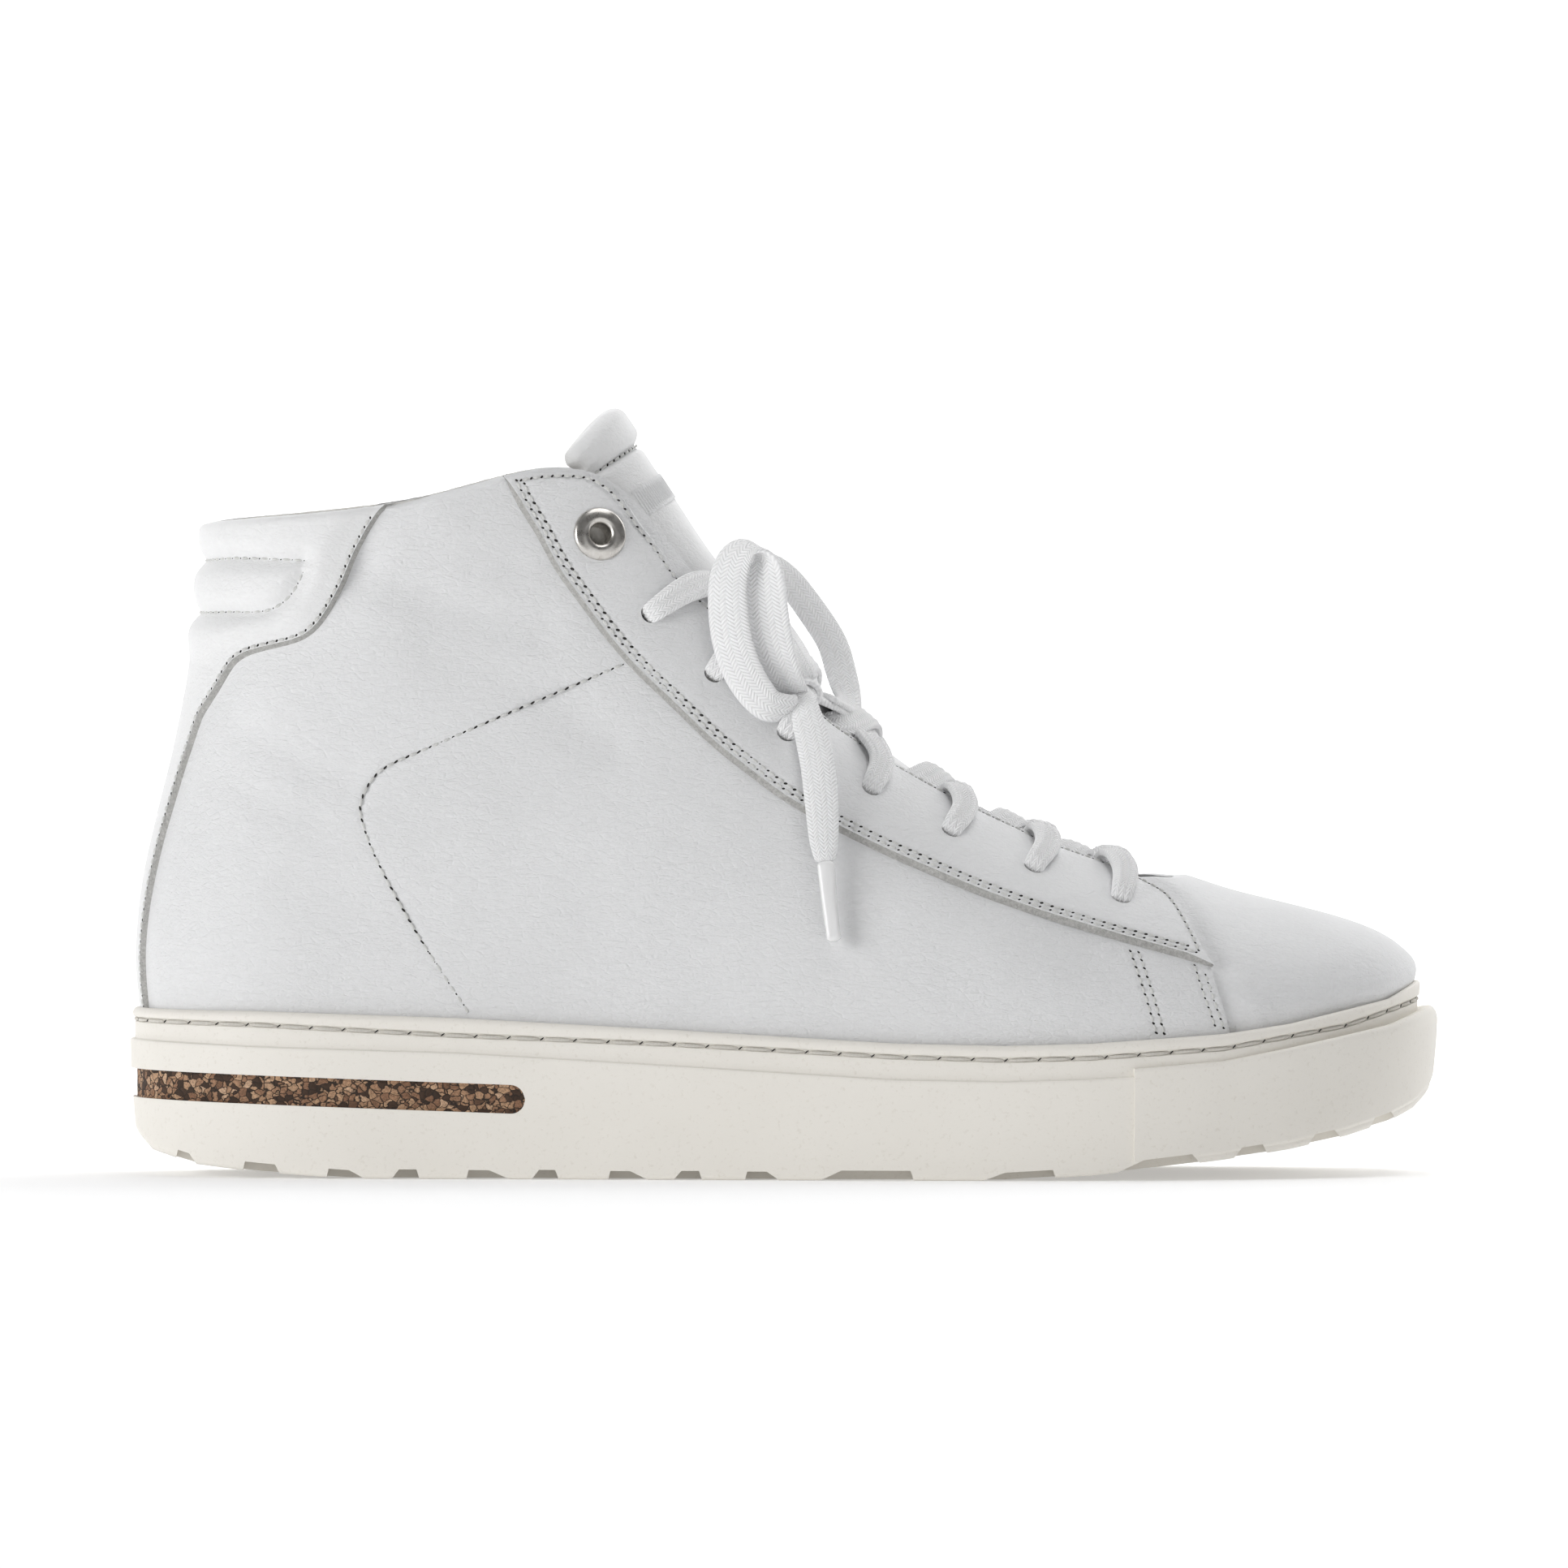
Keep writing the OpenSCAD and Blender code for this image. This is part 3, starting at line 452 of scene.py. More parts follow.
def leather_material(name, tone, grain=1.0):
    """Smooth full-grain leather: fine pebble, short creases, soft clouding."""
    m, tree, shader = new_material(name)
    where = coordinates(tree)
    cloud = noise_of(tree, where, 28, 3)
    fine = noise_of(tree, where, 900, 4)
    tint = mixed(tree, ramp(tree, cloud, [(0.35, (0, 0, 0)), (0.7, (1, 1, 1))]), tone, [c * 0.955 for c in tone])
    color = mixed(tree, ramp(tree, fine, [(0.3, (0.25,) * 3), (0.7, (0, 0, 0))]), tint, [c * 0.86 for c in tone])
    feed(tree, shader.inputs, {"Base Color": color, "Roughness": spread(tree, fine, 0.44, 0.6),
                               "Specular IOR Level": 0.42})
    warp = mixed(tree, 0.001, where, node(tree, "TexNoise", {"Vector": where, "Scale": 160}).outputs["Color"])
    pebble = cells_of(tree, warp, 1500, "SMOOTH_F1")
    crease = cells_of(tree, coordinates(tree, (0.55, 1, 1.3)), 520, "DISTANCE_TO_EDGE")
    crease = ramp(tree, crease, [(0.0, (0, 0, 0)), (0.12, (1, 1, 1))])
    broad = noise_of(tree, coordinates(tree, (0.7, 1, 1.6)), 210, 5, 0.6, 0.6)
    turned = node(tree, "Mapping", {"Vector": where, "Rotation": (0, 0.6, 0), "Scale": (1, 1, 3.2)}).outputs[0]
    wrinkle = sum_of(tree, "ABSOLUTE", sum_of(tree, "SUBTRACT", noise_of(tree, turned, 420, 4, 0.62, 0.9), 0.5))
    bumps(tree, shader, [(broad, 0.5 * grain, 0.0006), (wrinkle, 0.5 * grain, 0.0006),
                         (crease, 0.3 * grain, 0.00016), (pebble, 0.45 * grain, 0.00016)])
    return m


def raw_edge_material():
    """Cut edge of the leather: grey-beige, fibrous."""
    m, tree, shader = new_material("raw_edge")
    where = coordinates(tree)
    fibre = noise_of(tree, where, 1500, 6, 0.7, 0.8)
    color = ramp(tree, fibre, [(0.25, (0.26, 0.255, 0.245)), (0.55, (0.46, 0.455, 0.44)),
                               (0.8, (0.66, 0.655, 0.64))])
    feed(tree, shader.inputs, {"Base Color": color, "Roughness": 0.9})
    bumps(tree, shader, [(fibre, 0.8, 0.0003)])
    return m


def thread_material(name, tone):
    """Twisted thread."""
    m, tree, shader = new_material(name)
    where = coordinates(tree)
    twist = node(tree, "TexWave", {"Vector": where, "Scale": 1300, "Distortion": 2.0, "Detail": 2}).outputs["Fac"]
    # Painted shade: the colour darkens by a fifth in the twist's grooves, where the bump is low.
    color = mixed(tree, twist, [c * 0.8 for c in tone], tone)
    feed(tree, shader.inputs, {"Base Color": color, "Roughness": 0.75})
    bumps(tree, shader, [(twist, 0.6, 0.0002)])
    return m


# Needle holes: a near-black colour painted as the shade inside each hole, with a little speckle.
def stitch_hole_shade_material():
    m, tree, shader = new_material("needle_hole_shade")
    shade_speckle = noise_of(tree, coordinates(tree), 2500, 3)
    color = ramp(tree, shade_speckle, [(0.3, (0.012, 0.011, 0.01)), (0.8, (0.05, 0.047, 0.043))])
    feed(tree, shader.inputs, {"Base Color": color, "Roughness": 0.95})
    return m


def rubber_material():
    """Off-white cup sole: matt, slightly cloudy, with fine pores."""
    m, tree, shader = new_material("sole_rubber")
    where = coordinates(tree)
    cloud = noise_of(tree, where, 30, 4)
    speck = noise_of(tree, where, 1100, 3)
    tone = mixed(tree, cloud, (0.82, 0.79, 0.73), (0.875, 0.848, 0.795))
    color = mixed(tree, ramp(tree, speck, [(0.25, (0.5,) * 3), (0.42, (0, 0, 0))]), tone, (0.7, 0.66, 0.59))
    feed(tree, shader.inputs, {"Base Color": color, "Roughness": spread(tree, speck, 0.5, 0.68),
                               "Specular IOR Level": 0.4})
    bumps(tree, shader, [(noise_of(tree, where, 60, 3), 0.25, 0.0006), (speck, 0.3, 0.00012)])
    return m


def cork_material():
    """Ground cork: chips of many browns in a dark binder."""
    m, tree, shader = new_material("cork")
    where = coordinates(tree, (1, 1, 1.25))
    warp = mixed(tree, 0.002, where, node(tree, "TexNoise", {"Vector": where, "Scale": 500}).outputs["Color"])
    chip = cells_of(tree, warp, 560, "F1", "Color")
    chip_value = node(tree, "SeparateColor", {"Color": chip}).outputs[0]
    gap = cells_of(tree, warp, 560, "DISTANCE_TO_EDGE")
    grain = noise_of(tree, where, 2200, 4)
    tones = ramp(tree, chip_value, [
        (0.0, (0.035, 0.02, 0.012)), (0.24, (0.07, 0.038, 0.023)), (0.3, (0.27, 0.14, 0.08)),
        (0.6, (0.42, 0.24, 0.14)), (0.85, (0.56, 0.35, 0.21)), (1.0, (0.66, 0.44, 0.29))])
    tones = mixed(tree, ramp(tree, grain, [(0.35, (0.55,) * 3), (0.6, (0, 0, 0))]), tones, (0.05, 0.028, 0.017))
    color = mixed(tree, ramp(tree, gap, [(0.03, (1, 1, 1)), (0.1, (0, 0, 0))]), tones, (0.025, 0.016, 0.011))
    feed(tree, shader.inputs, {"Base Color": color, "Roughness": 0.85})
    bumps(tree, shader, [(gap, 0.7, 0.0006), (grain, 0.5, 0.0003)])
    return m


LACE_WIDTH = 8


def lace_material():
    """Flat cotton braid: chevrons of plump yarns, soft fuzz."""
    m, tree, shader = new_material("lace")
    uv = node(tree, "UVMap", uv_map="along").outputs["UV"]
    parts = node(tree, "SeparateXYZ", {"Vector": uv})
    along, across = parts.outputs[0], parts.outputs[1]

    def of(kind, a, b=0.0):
        return sum_of(tree, kind, a, b)

    ribs = of("PINGPONG", of("MULTIPLY", across, 3.0), 1.0)
    slant = of("ADD", of("MULTIPLY", along, 3.3), of("MULTIPLY", ribs, 4.0))
    yarn = of("ABSOLUTE", of("SINE", slant))
    rib_round = of("SINE", of("MULTIPLY", ribs, math.pi))
    height = of("ADD", of("MULTIPLY", yarn, 0.6), of("MULTIPLY", rib_round, 0.2))
    where = coordinates(tree)
    fuzz = noise_of(tree, where, 2400, 5, 0.7)
    # Painted shade: the braid's colour is darker where its height is low, in the grooves between the yarns and ribs.
    color = mixed(tree, spread(tree, height, 0.0, 1.0), (0.89, 0.89, 0.895), (0.99, 0.99, 0.995))
    color = mixed(tree, ramp(tree, fuzz, [(0.35, (0.3,) * 3), (0.6, (0, 0, 0))]), color, (0.92, 0.92, 0.93))
    feed(tree, shader.inputs, {"Base Color": color, "Roughness": 0.9, "Sheen Weight": 0.35,
                               "Sheen Roughness": 0.5, "Specular IOR Level": 0.2})
    bumps(tree, shader, [(height, 0.6, 0.0006), (fuzz, 0.4, 0.0002)])
    return m


def nickel_material():
    m, tree, shader = new_material("nickel")
    where = coordinates(tree)
    worn = noise_of(tree, where, 500, 5)
    color = ramp(tree, worn, [(0.3, (0.5, 0.48, 0.45)), (0.7, (0.72, 0.7, 0.67))])
    feed(tree, shader.inputs, {"Base Color": color, "Metallic": 1.0, "Roughness": spread(tree, worn, 0.2, 0.38)})
    bumps(tree, shader, [(worn, 0.15, 0.0001)])
    return m


def aglet_material():
    """Clear film wound round the lace tip."""
    m, tree, shader = new_material("aglet_film")
    where = coordinates(tree, (1, 1, 0.15))
    streak = noise_of(tree, where, 900, 4)
    color = mixed(tree, streak, (0.8, 0.8, 0.8), (0.9, 0.9, 0.905))
    feed(tree, shader.inputs, {"Base Color": color, "Roughness": 0.22, "Coat Weight": 0.6, "Coat Roughness": 0.1})
    bumps(tree, shader, [(streak, 0.3, 0.0002)])
    return m


def cloth_material(name, tone, scale=1500):
    """Close textile or suede: fine nap with a hint of weave."""
    m, tree, shader = new_material(name)
    where = coordinates(tree)
    nap = noise_of(tree, where, scale, 5, 0.7)
    cloud = noise_of(tree, where, 35, 3)
    tint = mixed(tree, cloud, [c * 0.92 for c in tone], tone)
    color = mixed(tree, ramp(tree, nap, [(0.3, (0.5,) * 3), (0.6, (0, 0, 0))]), tint, [c * 0.75 for c in tone])
    feed(tree, shader.inputs, {"Base Color": color, "Roughness": 0.92, "Sheen Weight": 0.15})
    bumps(tree, shader, [(nap, 0.5, 0.00025)])
    return m


LEATHER = leather_material("white_leather", (0.80, 0.803, 0.81))
SOFT_LEATHER = leather_material("collar_leather", (0.83, 0.832, 0.835), 0.8)
RAW_EDGE = raw_edge_material()
THREAD = thread_material("upper_thread", (0.82, 0.82, 0.8))
SOLE_THREAD = thread_material("sole_thread", (0.8, 0.77, 0.71))
NEEDLE_HOLE_SHADE = stitch_hole_shade_material()
RUBBER = rubber_material()
CORK = cork_material()
LACE = lace_material()
NICKEL = nickel_material()
AGLET = aglet_material()
LINING = cloth_material("lining", (0.76, 0.745, 0.71))
FOOTBED = cloth_material("footbed_suede", (0.66, 0.58, 0.47), 1100)
BOARD = cloth_material("inner_board", (0.5, 0.4, 0.28), 900)
FOAM = cloth_material("inner_foam", (0.6, 0.55, 0.42), 700)


# ---------------------------------------------------------------- free laces: bow loops and ends
LACE_T = 1.9
NEAR_LOOP = [[4.6, -24, 108.5], [1, -32, 107.4], [-4, -35.3, 108.2], [-8.5, -35.3, 113.5], [-11.6, -34.8, 120.5],
             [-13, -34, 128], [-13.2, -33, 136], [-11.5, -32, 142], [-8.2, -31, 144.3], [-5, -30.6, 142],
             [-4.6, -31.4, 136], [-3.9, -31.9, 128], [-2.3, -32, 120.5], [0.6, -30, 113.5], [3.2, -26, 110]]
NEAR_LOOP_FACE = [[0.6, -0.6, 0.5], [-0.1, -0.9, -0.3], [-0.1, -1, -0.1], [-0.2, -1, 0.05], [-0.25, -1, 0],
                  [-0.25, -1, 0], [-0.3, -0.9, 0.1], [-0.3, -0.7, 0.6], [0.1, -0.35, 1], [0.5, 0.4, 0.6],
                  [0.3, 0.9, 0.1], [0.15, 1, 0], [0.15, 1, 0], [0.2, 1, 0], [0.2, 1, 0]]
NEAR_LOOP_W = [5, 6.4, 7.8, 9, 9.4, 9.4, 9.2, 9, 9, 9, 9.6, 9.8, 9, 7, 5.5]
FAR_LOOP = [[6, -18, 110], [9, -13, 108.6], [12, -5, 107], [14, 4, 106], [14.6, 11, 108.5], [13, 16, 115],
            [10.8, 19, 122], [6, 20.5, 129.5], [0.6, 21.5, 136.5], [-4.5, 21, 141], [-7.5, 17, 140.5],
            [-6.5, 11, 136], [-2.5, 4, 130], [2.5, -6, 122], [5.5, -14, 115.5]]
FAR_LOOP_FACE = [[0.5, 0, 1], [0.4, -0.1, 1], [0.5, -0.1, 0.9], [0.8, -0.4, 0.6], [0.7, -0.75, 0.4],
                 [0.5, -0.9, 0.35], [0.5, -0.9, 0.35], [0.5, -0.9, 0.4], [0.4, -0.8, 0.6], [0, -0.4, 1],
                 [-0.8, 0, 0.6], [-1, 0, -0.2], [-0.9, 0, -0.5], [-0.8, 0.2, -0.5], [-0.8, 0.2, -0.4]]
NEAR_END = [[3.5, -21.5, 111.5], [3.4, -27, 110.5], [4.4, -32, 107], [6, -36.6, 101], [7.4, -41.5, 94],
            [8.3, -45.8, 85.5], [8.8, -49, 77.5], [9.2, -50.6, 72.5]]
NEAR_END_FACE = [[0, -0.4, 1], [0, -0.6, 0.8], [-0.1, -0.75, 0.6], [-0.15, -0.9, 0.6], [-0.1, -0.9, 0.5],
                 [0, -1, 0.4], [0, -1, 0.3], [0, -1, 0.2]]
NEAR_END_W = [5, 6, 7, 7.6, 7.8, 7.6, 6.6, 4.6]
FAR_END = [[9, -16, 110], [12.5, -6, 107.5], [13.5, 6, 106], [12.5, 16, 106], [11.5, 24, 106], [9.5, 32, 102],
           [9, 39, 96], [8.8, 45.4, 86.5], [9.2, 49.5, 77.5], [9.5, 51.2, 72.5]]
FAR_END_FACE = [[0.3, 0, 1], [0.2, 0, 1], [0, 0, 1], [0, 0, 1], [0, 0.3, 1], [0, 0.6, 0.8], [0, 0.9, 0.4],
                [0, 1, 0.3], [0, 1, 0.3], [0, 1, 0.2]]
FAR_END_W = [6, 7, 7.8, 8, 8, 8, 7.8, 7.4, 6.4, 4.6]
NEAR_AGLET = [[9.2, -50.6, 72.9], [9.8, -51.6, 66], [10.5, -52.6, 59.5], [11, -53, 56], [11.2, -53.2, 54.6]]
FAR_AGLET = [[9.5, 51.2, 72.9], [9.9, 52, 66], [10.5, 52.7, 59.5], [10.9, 53.1, 56], [11, 53.2, 54.6]]
AGLET_W = [4.2, 3.7, 3.4, 3.3, 3.9]
AGLET_T = [2.2, 2.5, 2.6, 2.6, 3.0]


def turned_faces(rings, sides, turn=1):
    """Quads of a tube of rings; turn -1 gives the other winding."""
    i, j = np.meshgrid(np.arange(rings - 1), np.arange(sides), indexing="ij")
    k = (j + 1) % sides
    quads = np.stack([i * sides + j, (i + 1) * sides + j, (i + 1) * sides + k, i * sides + k], -1)
    return quads.reshape(-1, 4)[:, [0, 3, 2, 1] if turn < 0 else [0, 1, 2, 3]]


def ribbon(route, facing, widths, thick=LACE_T, sides=44, step=0.6, ribs=0.0, cup=0.0):
    """A soft flat band along the route. Returns points, faces, uv and its centre line."""
    widths = np.broadcast_to(np.asarray(widths, float), (len(route),))
    thick = np.broadcast_to(np.asarray(thick, float), (len(route),))
    c = catmull(np.concatenate([np.asarray(route, float), facing, widths[:, None], thick[:, None]], 1))
    c = resample(c, arc_lengths(c[:, :3]), step)
    p, face, w, t = c[:, :3], c[:, 3:6], c[:, 6], c[:, 7]
    run = unit(np.gradient(p, axis=0))
    face = unit(face - (face * run).sum(1, keepdims=True) * run)
    across = np.cross(face, run)
    a = np.arange(sides) * 2 * math.pi / sides
    x = np.sign(np.cos(a)) * np.abs(np.cos(a)) ** 0.8
    y = np.sign(np.sin(a)) * np.abs(np.sin(a)) ** 0.62
    y = y * (1 - ribs * (1 - np.cos(x * 4 * math.pi))) + cup * x * x
    ends = 1 - 0.55 * (bell(np.arange(len(p)), 0.8) + bell(np.arange(len(p)) - len(p) + 1, 0.8))
    pts = (p[:, None] + (w * 0.5 * ends)[:, None, None] * x[None, :, None] * across[:, None]
           + (t * 0.5 * ends)[:, None, None] * y[None, :, None] * face[:, None])
    n = len(p)
    faces = turned_faces(n, sides, -1).tolist()
    faces += [list(range(sides))[::-1], list(range((n - 1) * sides, n * sides))]
    s = arc_lengths(p)
    uv = np.stack([np.repeat(s, sides), np.tile(x, n)], -1)
    return pts.reshape(-1, 3), faces, uv, p


def joined(parts):
    points, faces, uv, base = [], [], [], 0
    for p, f, t, _ in parts:
        points.append(p)
        faces += [[i + base for i in q] for q in f]
        uv.append(t)
        base += len(p)
    return np.concatenate(points), faces, np.concatenate(uv)


def add_cord(name, route, facing, widths, node_name, tip=None):
    points, faces, uv, line = ribbon(route, facing, widths, cup=-0.35)
    obj = make(name, points, faces, LACE, sharp=60, uv=uv)
    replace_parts(obj, node_name)
    if tip:
        tip_route, tip_node = tip
        p, f, t, _ = ribbon(tip_route, [facing[-1]] * len(tip_route), AGLET_W, AGLET_T, 32, 0.5)
        film = make(name + "_tip", p, f, AGLET, sharp=50, uv=t)
        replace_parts(film, tip_node)


def free_laces():
    add_cord("near_bow_loop", NEAR_LOOP, NEAR_LOOP_FACE, NEAR_LOOP_W, "bow_loop_near")
    far_w = [5.5] + [LACE_WIDTH] * (len(FAR_LOOP) - 2) + [6]
    add_cord("far_bow_loop", FAR_LOOP, FAR_LOOP_FACE, far_w, "bow_loop_far")
    add_cord("near_lace_end", NEAR_END, NEAR_END_FACE, NEAR_END_W, "lace_end_near",
             (NEAR_AGLET, "aglet_near"))
    add_cord("far_lace_end", FAR_END, FAR_END_FACE, FAR_END_W, "lace_end_far",
             (FAR_AGLET, "aglet_far"))


free_laces()


# ---------------------------------------------------------------- outlines of the upper, in side view [x, z]
HEEL_EDGE = [[-88.9, 154.9], [-92.9, 151], [-97.5, 143], [-100.4, 136.1], [-103.8, 129.8], [-107.2, 125.2],
             [-111.2, 122.6], [-117.5, 120.9], [-122.8, 119.5], [-126.6, 117], [-129.4, 112.5]]
HEEL_EDGE_LOW = [[0.98, 3.25], [0.82, 2.8], [0.7, 2.2], [0.6, 1.5], [0.52, 0.8], [0.5, 0]]
CHANNEL_HIGH = [[-126, 141.6], [-121, 141.5], [-115.5, 141.3], [-110.1, 141.1]]
CHANNEL_LOW = [[-126.5, 129.3], [-123.8, 129.2], [-120.4, 129.4], [-117.5, 130.1], [-114.7, 131.8],
               [-112.4, 134.4], [-110.9, 137.3], [-110.4, 138.4]]
EYESTAY_LOW = [[-64.4, 160.6], [-61.2, 153.9], [-56.9, 146.8], [-52.6, 138.9], [-47.6, 132], [-42.7, 125.4],
               [-37.7, 119.3], [-32.8, 114.1], [-27.4, 109], [-21.8, 103.6], [-16.4, 98.5], [-9, 92.6], [-1.4, 87],
               [5.5, 82.8], [11.7, 79.4], [21.4, 74.6], [33, 69.5], [44.4, 64.7], [55.8, 60.6], [67.2, 57],
               [78.6, 53.7], [88.4, 50.9], [97.3, 48.4]]
EYESTAY_HIGH = [[-64.4, 160.6], [-58, 162.6], [-53.2, 163.1], [-47.6, 162.4], [-43.9, 161], [-40.5, 158.9],
                [-37.7, 156.1], [-35, 152.3], [-32.8, 149], [-28.4, 143], [-24, 136.9], [-8, 121], [8.3, 104.7],
                [17.5, 98.4], [23.8, 94.2], [34.1, 88.6], [41, 85.1], [51.9, 79.5], [59.4, 75.9], [73, 71.1],
                [80.5, 67.9], [87.2, 64.5], [90.1, 61.6], [92.1, 58.5], [94.2, 54.6], [95.6, 51.6], [97.3, 48.4]]
SIDE_STITCH = [[-36.9, 117.5], [-46.5, 113.4], [-63.5, 106.2], [-81.5, 98.4], [-91.2, 94], [-95.2, 90],
               [-96.9, 86], [-96.9, 82.8], [-94.6, 75.6], [-90, 66.4], [-83.8, 55.5], [-77.5, 45.8], [-72, 37.5]]
FRONT_EDGE = [[97.2, 49.5], [97.8, 46], [98.6, 43.6], [100.1, 39.1], [101.4, 34]]
FRONT_ROWS = [[[93.4, 49], [94.6, 45], [96.3, 40], [98, 35.2]],
              [[95.9, 46.8], [97, 43.5], [98.5, 39], [100, 34.6]]]
SECOND_ROWS = [[[78.7, 52.3], [81.2, 45], [84.6, 33.6]], [[80.6, 52], [83, 45], [86.4, 33.4]]]
# [u, v] of the lace holes on the lateral side, from the toe upwards, as in the CAD model
HOLES = [[11.75, 3.65], [10.75, 3.8], [9.85, 3.85], [8.95, 3.85], [7.95, 3.85], [7.15, 3.98], [6.45, 4.12]]
METAL_EYELET = [5.98, 4.55]
HOLE_R = 2.3
EYELET_HOLE_R = 2.6

MERGE = 0.004
LEATHER_T = 1.3
OVERLAY = 1.45
UNDER_HEEL = -0.9
UNDER_FRONT = -1.1
heel_edge = np.concatenate([invert(catmull(HEEL_EDGE)), HEEL_EDGE_LOW])
heel_edge = catmull(even(heel_edge * [20, 28], 4) / [20, 28], 6)
heel_edge = along_skin(heel_edge, 0.8)
heel_edge[:, 1] = np.minimum.accumulate(heel_edge[:, 1])
heel_edge[0, 1] = TOP
heel_edge[-1, 1] = 0
eyestay_low = uv_curve(EYESTAY_LOW, 0.7)
eyestay_high = uv_curve(EYESTAY_HIGH, 0.7)
front_edge = uv_curve(FRONT_EDGE, 0.7)


def across_heel(xz):
    """A channel that runs round the back of the heel from side to side."""
    half = invert(catmull(xz))
    start = np.stack([np.linspace(0, half[0, 0], 12)[:-1], np.full(11, half[0, 1])], -1)
    half = np.concatenate([start, half])
    both = np.concatenate([half[:0:-1] * [-1, 1], half])
    return along_skin(both, 0.8)


channels = [across_heel(CHANNEL_HIGH), across_heel(CHANNEL_LOW)]


def collar_bump(u, v):
    """How full the padded collar is, 0 to 1."""
    from_heel = np.minimum(np.abs(u), RING - u)
    side = 1 - smooth((from_heel - 3.2) / 1.6)
    return side * smooth((v - 3.55) / 0.5) * (1 - smooth((v - 4.55) / 0.45))


TOPLINE_R = 1.9


def roll_over(u, v):
    """0 on the side of the collar, rising to 1 at the very top, where the leather turns in."""
    _, up = slopes(u, v)
    width = TOPLINE_R / np.linalg.norm(up, axis=-1)
    t = np.clip((v - (TOP - width)) / width, 0, 1)
    from_heel = np.minimum(np.abs(u), RING - np.abs(u))
    return (1 - np.sqrt(1 - t * t)) * (1 - smooth((from_heel - 4.9) / 0.5))


def inner_height(u, v):
    """Height of the lining's visible face."""
    stiff = 1.2 * (1 - smooth((v - 2.2) / 0.6))
    side = -(3.2 + 4.4 * collar_bump(u, v) + stiff)
    return side + (-TOPLINE_R - side) * roll_over(u, v)


def round_edge(d, radius=0.9, drop=0.4):
    return -drop * np.clip(1 - d / radius, 0, 1) ** 2


low_rows = [shift(eyestay_low, 2.0)[3:-6], shift(eyestay_low, 3.3)[5:-9]]
high_row = shift(eyestay_high, -1.9)[5:-6]
heel_row = shift(heel_edge, -1.5)[2:]
side_row = uv_curve(SIDE_STITCH)
front_rows = [uv_curve(r) for r in FRONT_ROWS]
second_rows = [uv_curve(r) for r in SECOND_ROWS]


# ---------------------------------------------------------------- upper panels
def both_curves(curves):
    """The curves, and their mirror on the inner side, as points on the surface."""
    out = []
    for c in curves:
        out += [surface(c[:, 0], c[:, 1]), surface(RING - c[:, 0], c[:, 1])]
    return out


near_heel_edge = Near(both_curves([heel_edge]))
near_front_edge = Near(both_curves([front_edge, eyestay_high[-70:]]))
near_seams = Near(both_curves([side_row] + front_rows + second_rows))
near_stay_rows = Near(both_curves(low_rows + [high_row]))
near_heel_row = Near(both_curves([heel_row]))
near_channels = Near([surface(c[:, 0], c[:, 1]) for c in channels])
near_stay_edge = Near(both_curves([eyestay_low, eyestay_high]))
near_front_line = Near(both_curves([front_edge]))
SEAM_DIP, SEAM_W = 0.24, 0.6
RAW_LOW, RAW_HIGH, RAW_HEEL = 1.0, 1.1, 1.0
# Soft folds where the ankle bends: side view, depth, width
FOLDS = [([[-96, 138], [-86, 135], [-76, 130], [-66, 126.5], [-57, 125]], 1.5, 6.5),
         ([[-80, 121], [-66, 116], [-52, 108], [-40, 100]], 0.7, 6),
         ([[-124, 101], [-117, 98.5], [-108, 93], [-101, 91]], 0.9, 5.5),
         ([[-128, 92], [-118, 86], [-108, 83]], 0.6, 5),
         ([[-84, 143], [-73, 141.5], [-64, 141]], 0.6, 5),
         ([[-112, 66], [-96, 62], [-84, 61]], 0.35, 7),
         ([[10, 62], [22, 57], [36, 50]], 0.4, 7)]
near_folds = [(Near(both_curves([uv_curve(line, 2)])), depth, width) for line, depth, width in FOLDS]


def waves(p, size, amount):
    """Slow unevenness of soft leather."""
    flat = (p.reshape(-1, 3) / size).tolist()
    return amount * np.array([noise.noise(Vector(q)) for q in flat]).reshape(p.shape[:-1])


def edge_u(v, curve):
    return np.interp(v, curve[::-1, 1], curve[::-1, 0])


PUNCH_REACH = 7.0
RIM_REACH = 1.6


def punch(obj, places, side, radius):
    """Round holes through a shell, with a wall between its two faces."""
    work = bmesh.new()
    work.from_mesh(obj.data)
    for place in places:
        u, v = mirrored([place], side)[0]
        c = Vector(surface(u, v).tolist()) * MM
        axis = Vector(normal(u, v).tolist())
        r, far = radius * MM, PUNCH_REACH * MM

        def polar(p):
            d = p - c
            along = d.dot(axis)
            return along, d - along * axis

        inside = [w for w in work.verts if abs(polar(w.co)[0]) < far and polar(w.co)[1].length < r - 0.15 * MM]
        bmesh.ops.delete(work, geom=inside, context="VERTS")
        rim = [e for e in work.edges if e.is_boundary
               and all(abs(polar(w.co)[0]) < far and polar(w.co)[1].length < r + RIM_REACH * MM for w in e.verts)]
        for w in {w for e in rim for w in e.verts}:
            along, off = polar(w.co)
            w.co = c + axis * along + off.normalized() * r
        if rim:
            made = bmesh.ops.bridge_loops(work, edges=rim)
            for f in made["faces"]:
                f.material_index = min(1, len(obj.data.materials) - 1)
                f.smooth = True
    work.to_mesh(obj.data)
    work.free()
    obj.data.set_sharp_from_angle(angle=math.radians(35))


def panel(name, u, v, height, low, side, seed=1):
    """Leather over a grid of [v rows][u columns] on the lateral side, or its mirror."""
    u = RING - u if side > 0 else u
    points, faces, slots = shell(skin(u, v, height), skin(u, v, low), 4, flip=side > 0, jitter=0.05, seed=seed)
    return make(name, points, faces, [LEATHER, RAW_EDGE], face_slot=slots, merge=MERGE)


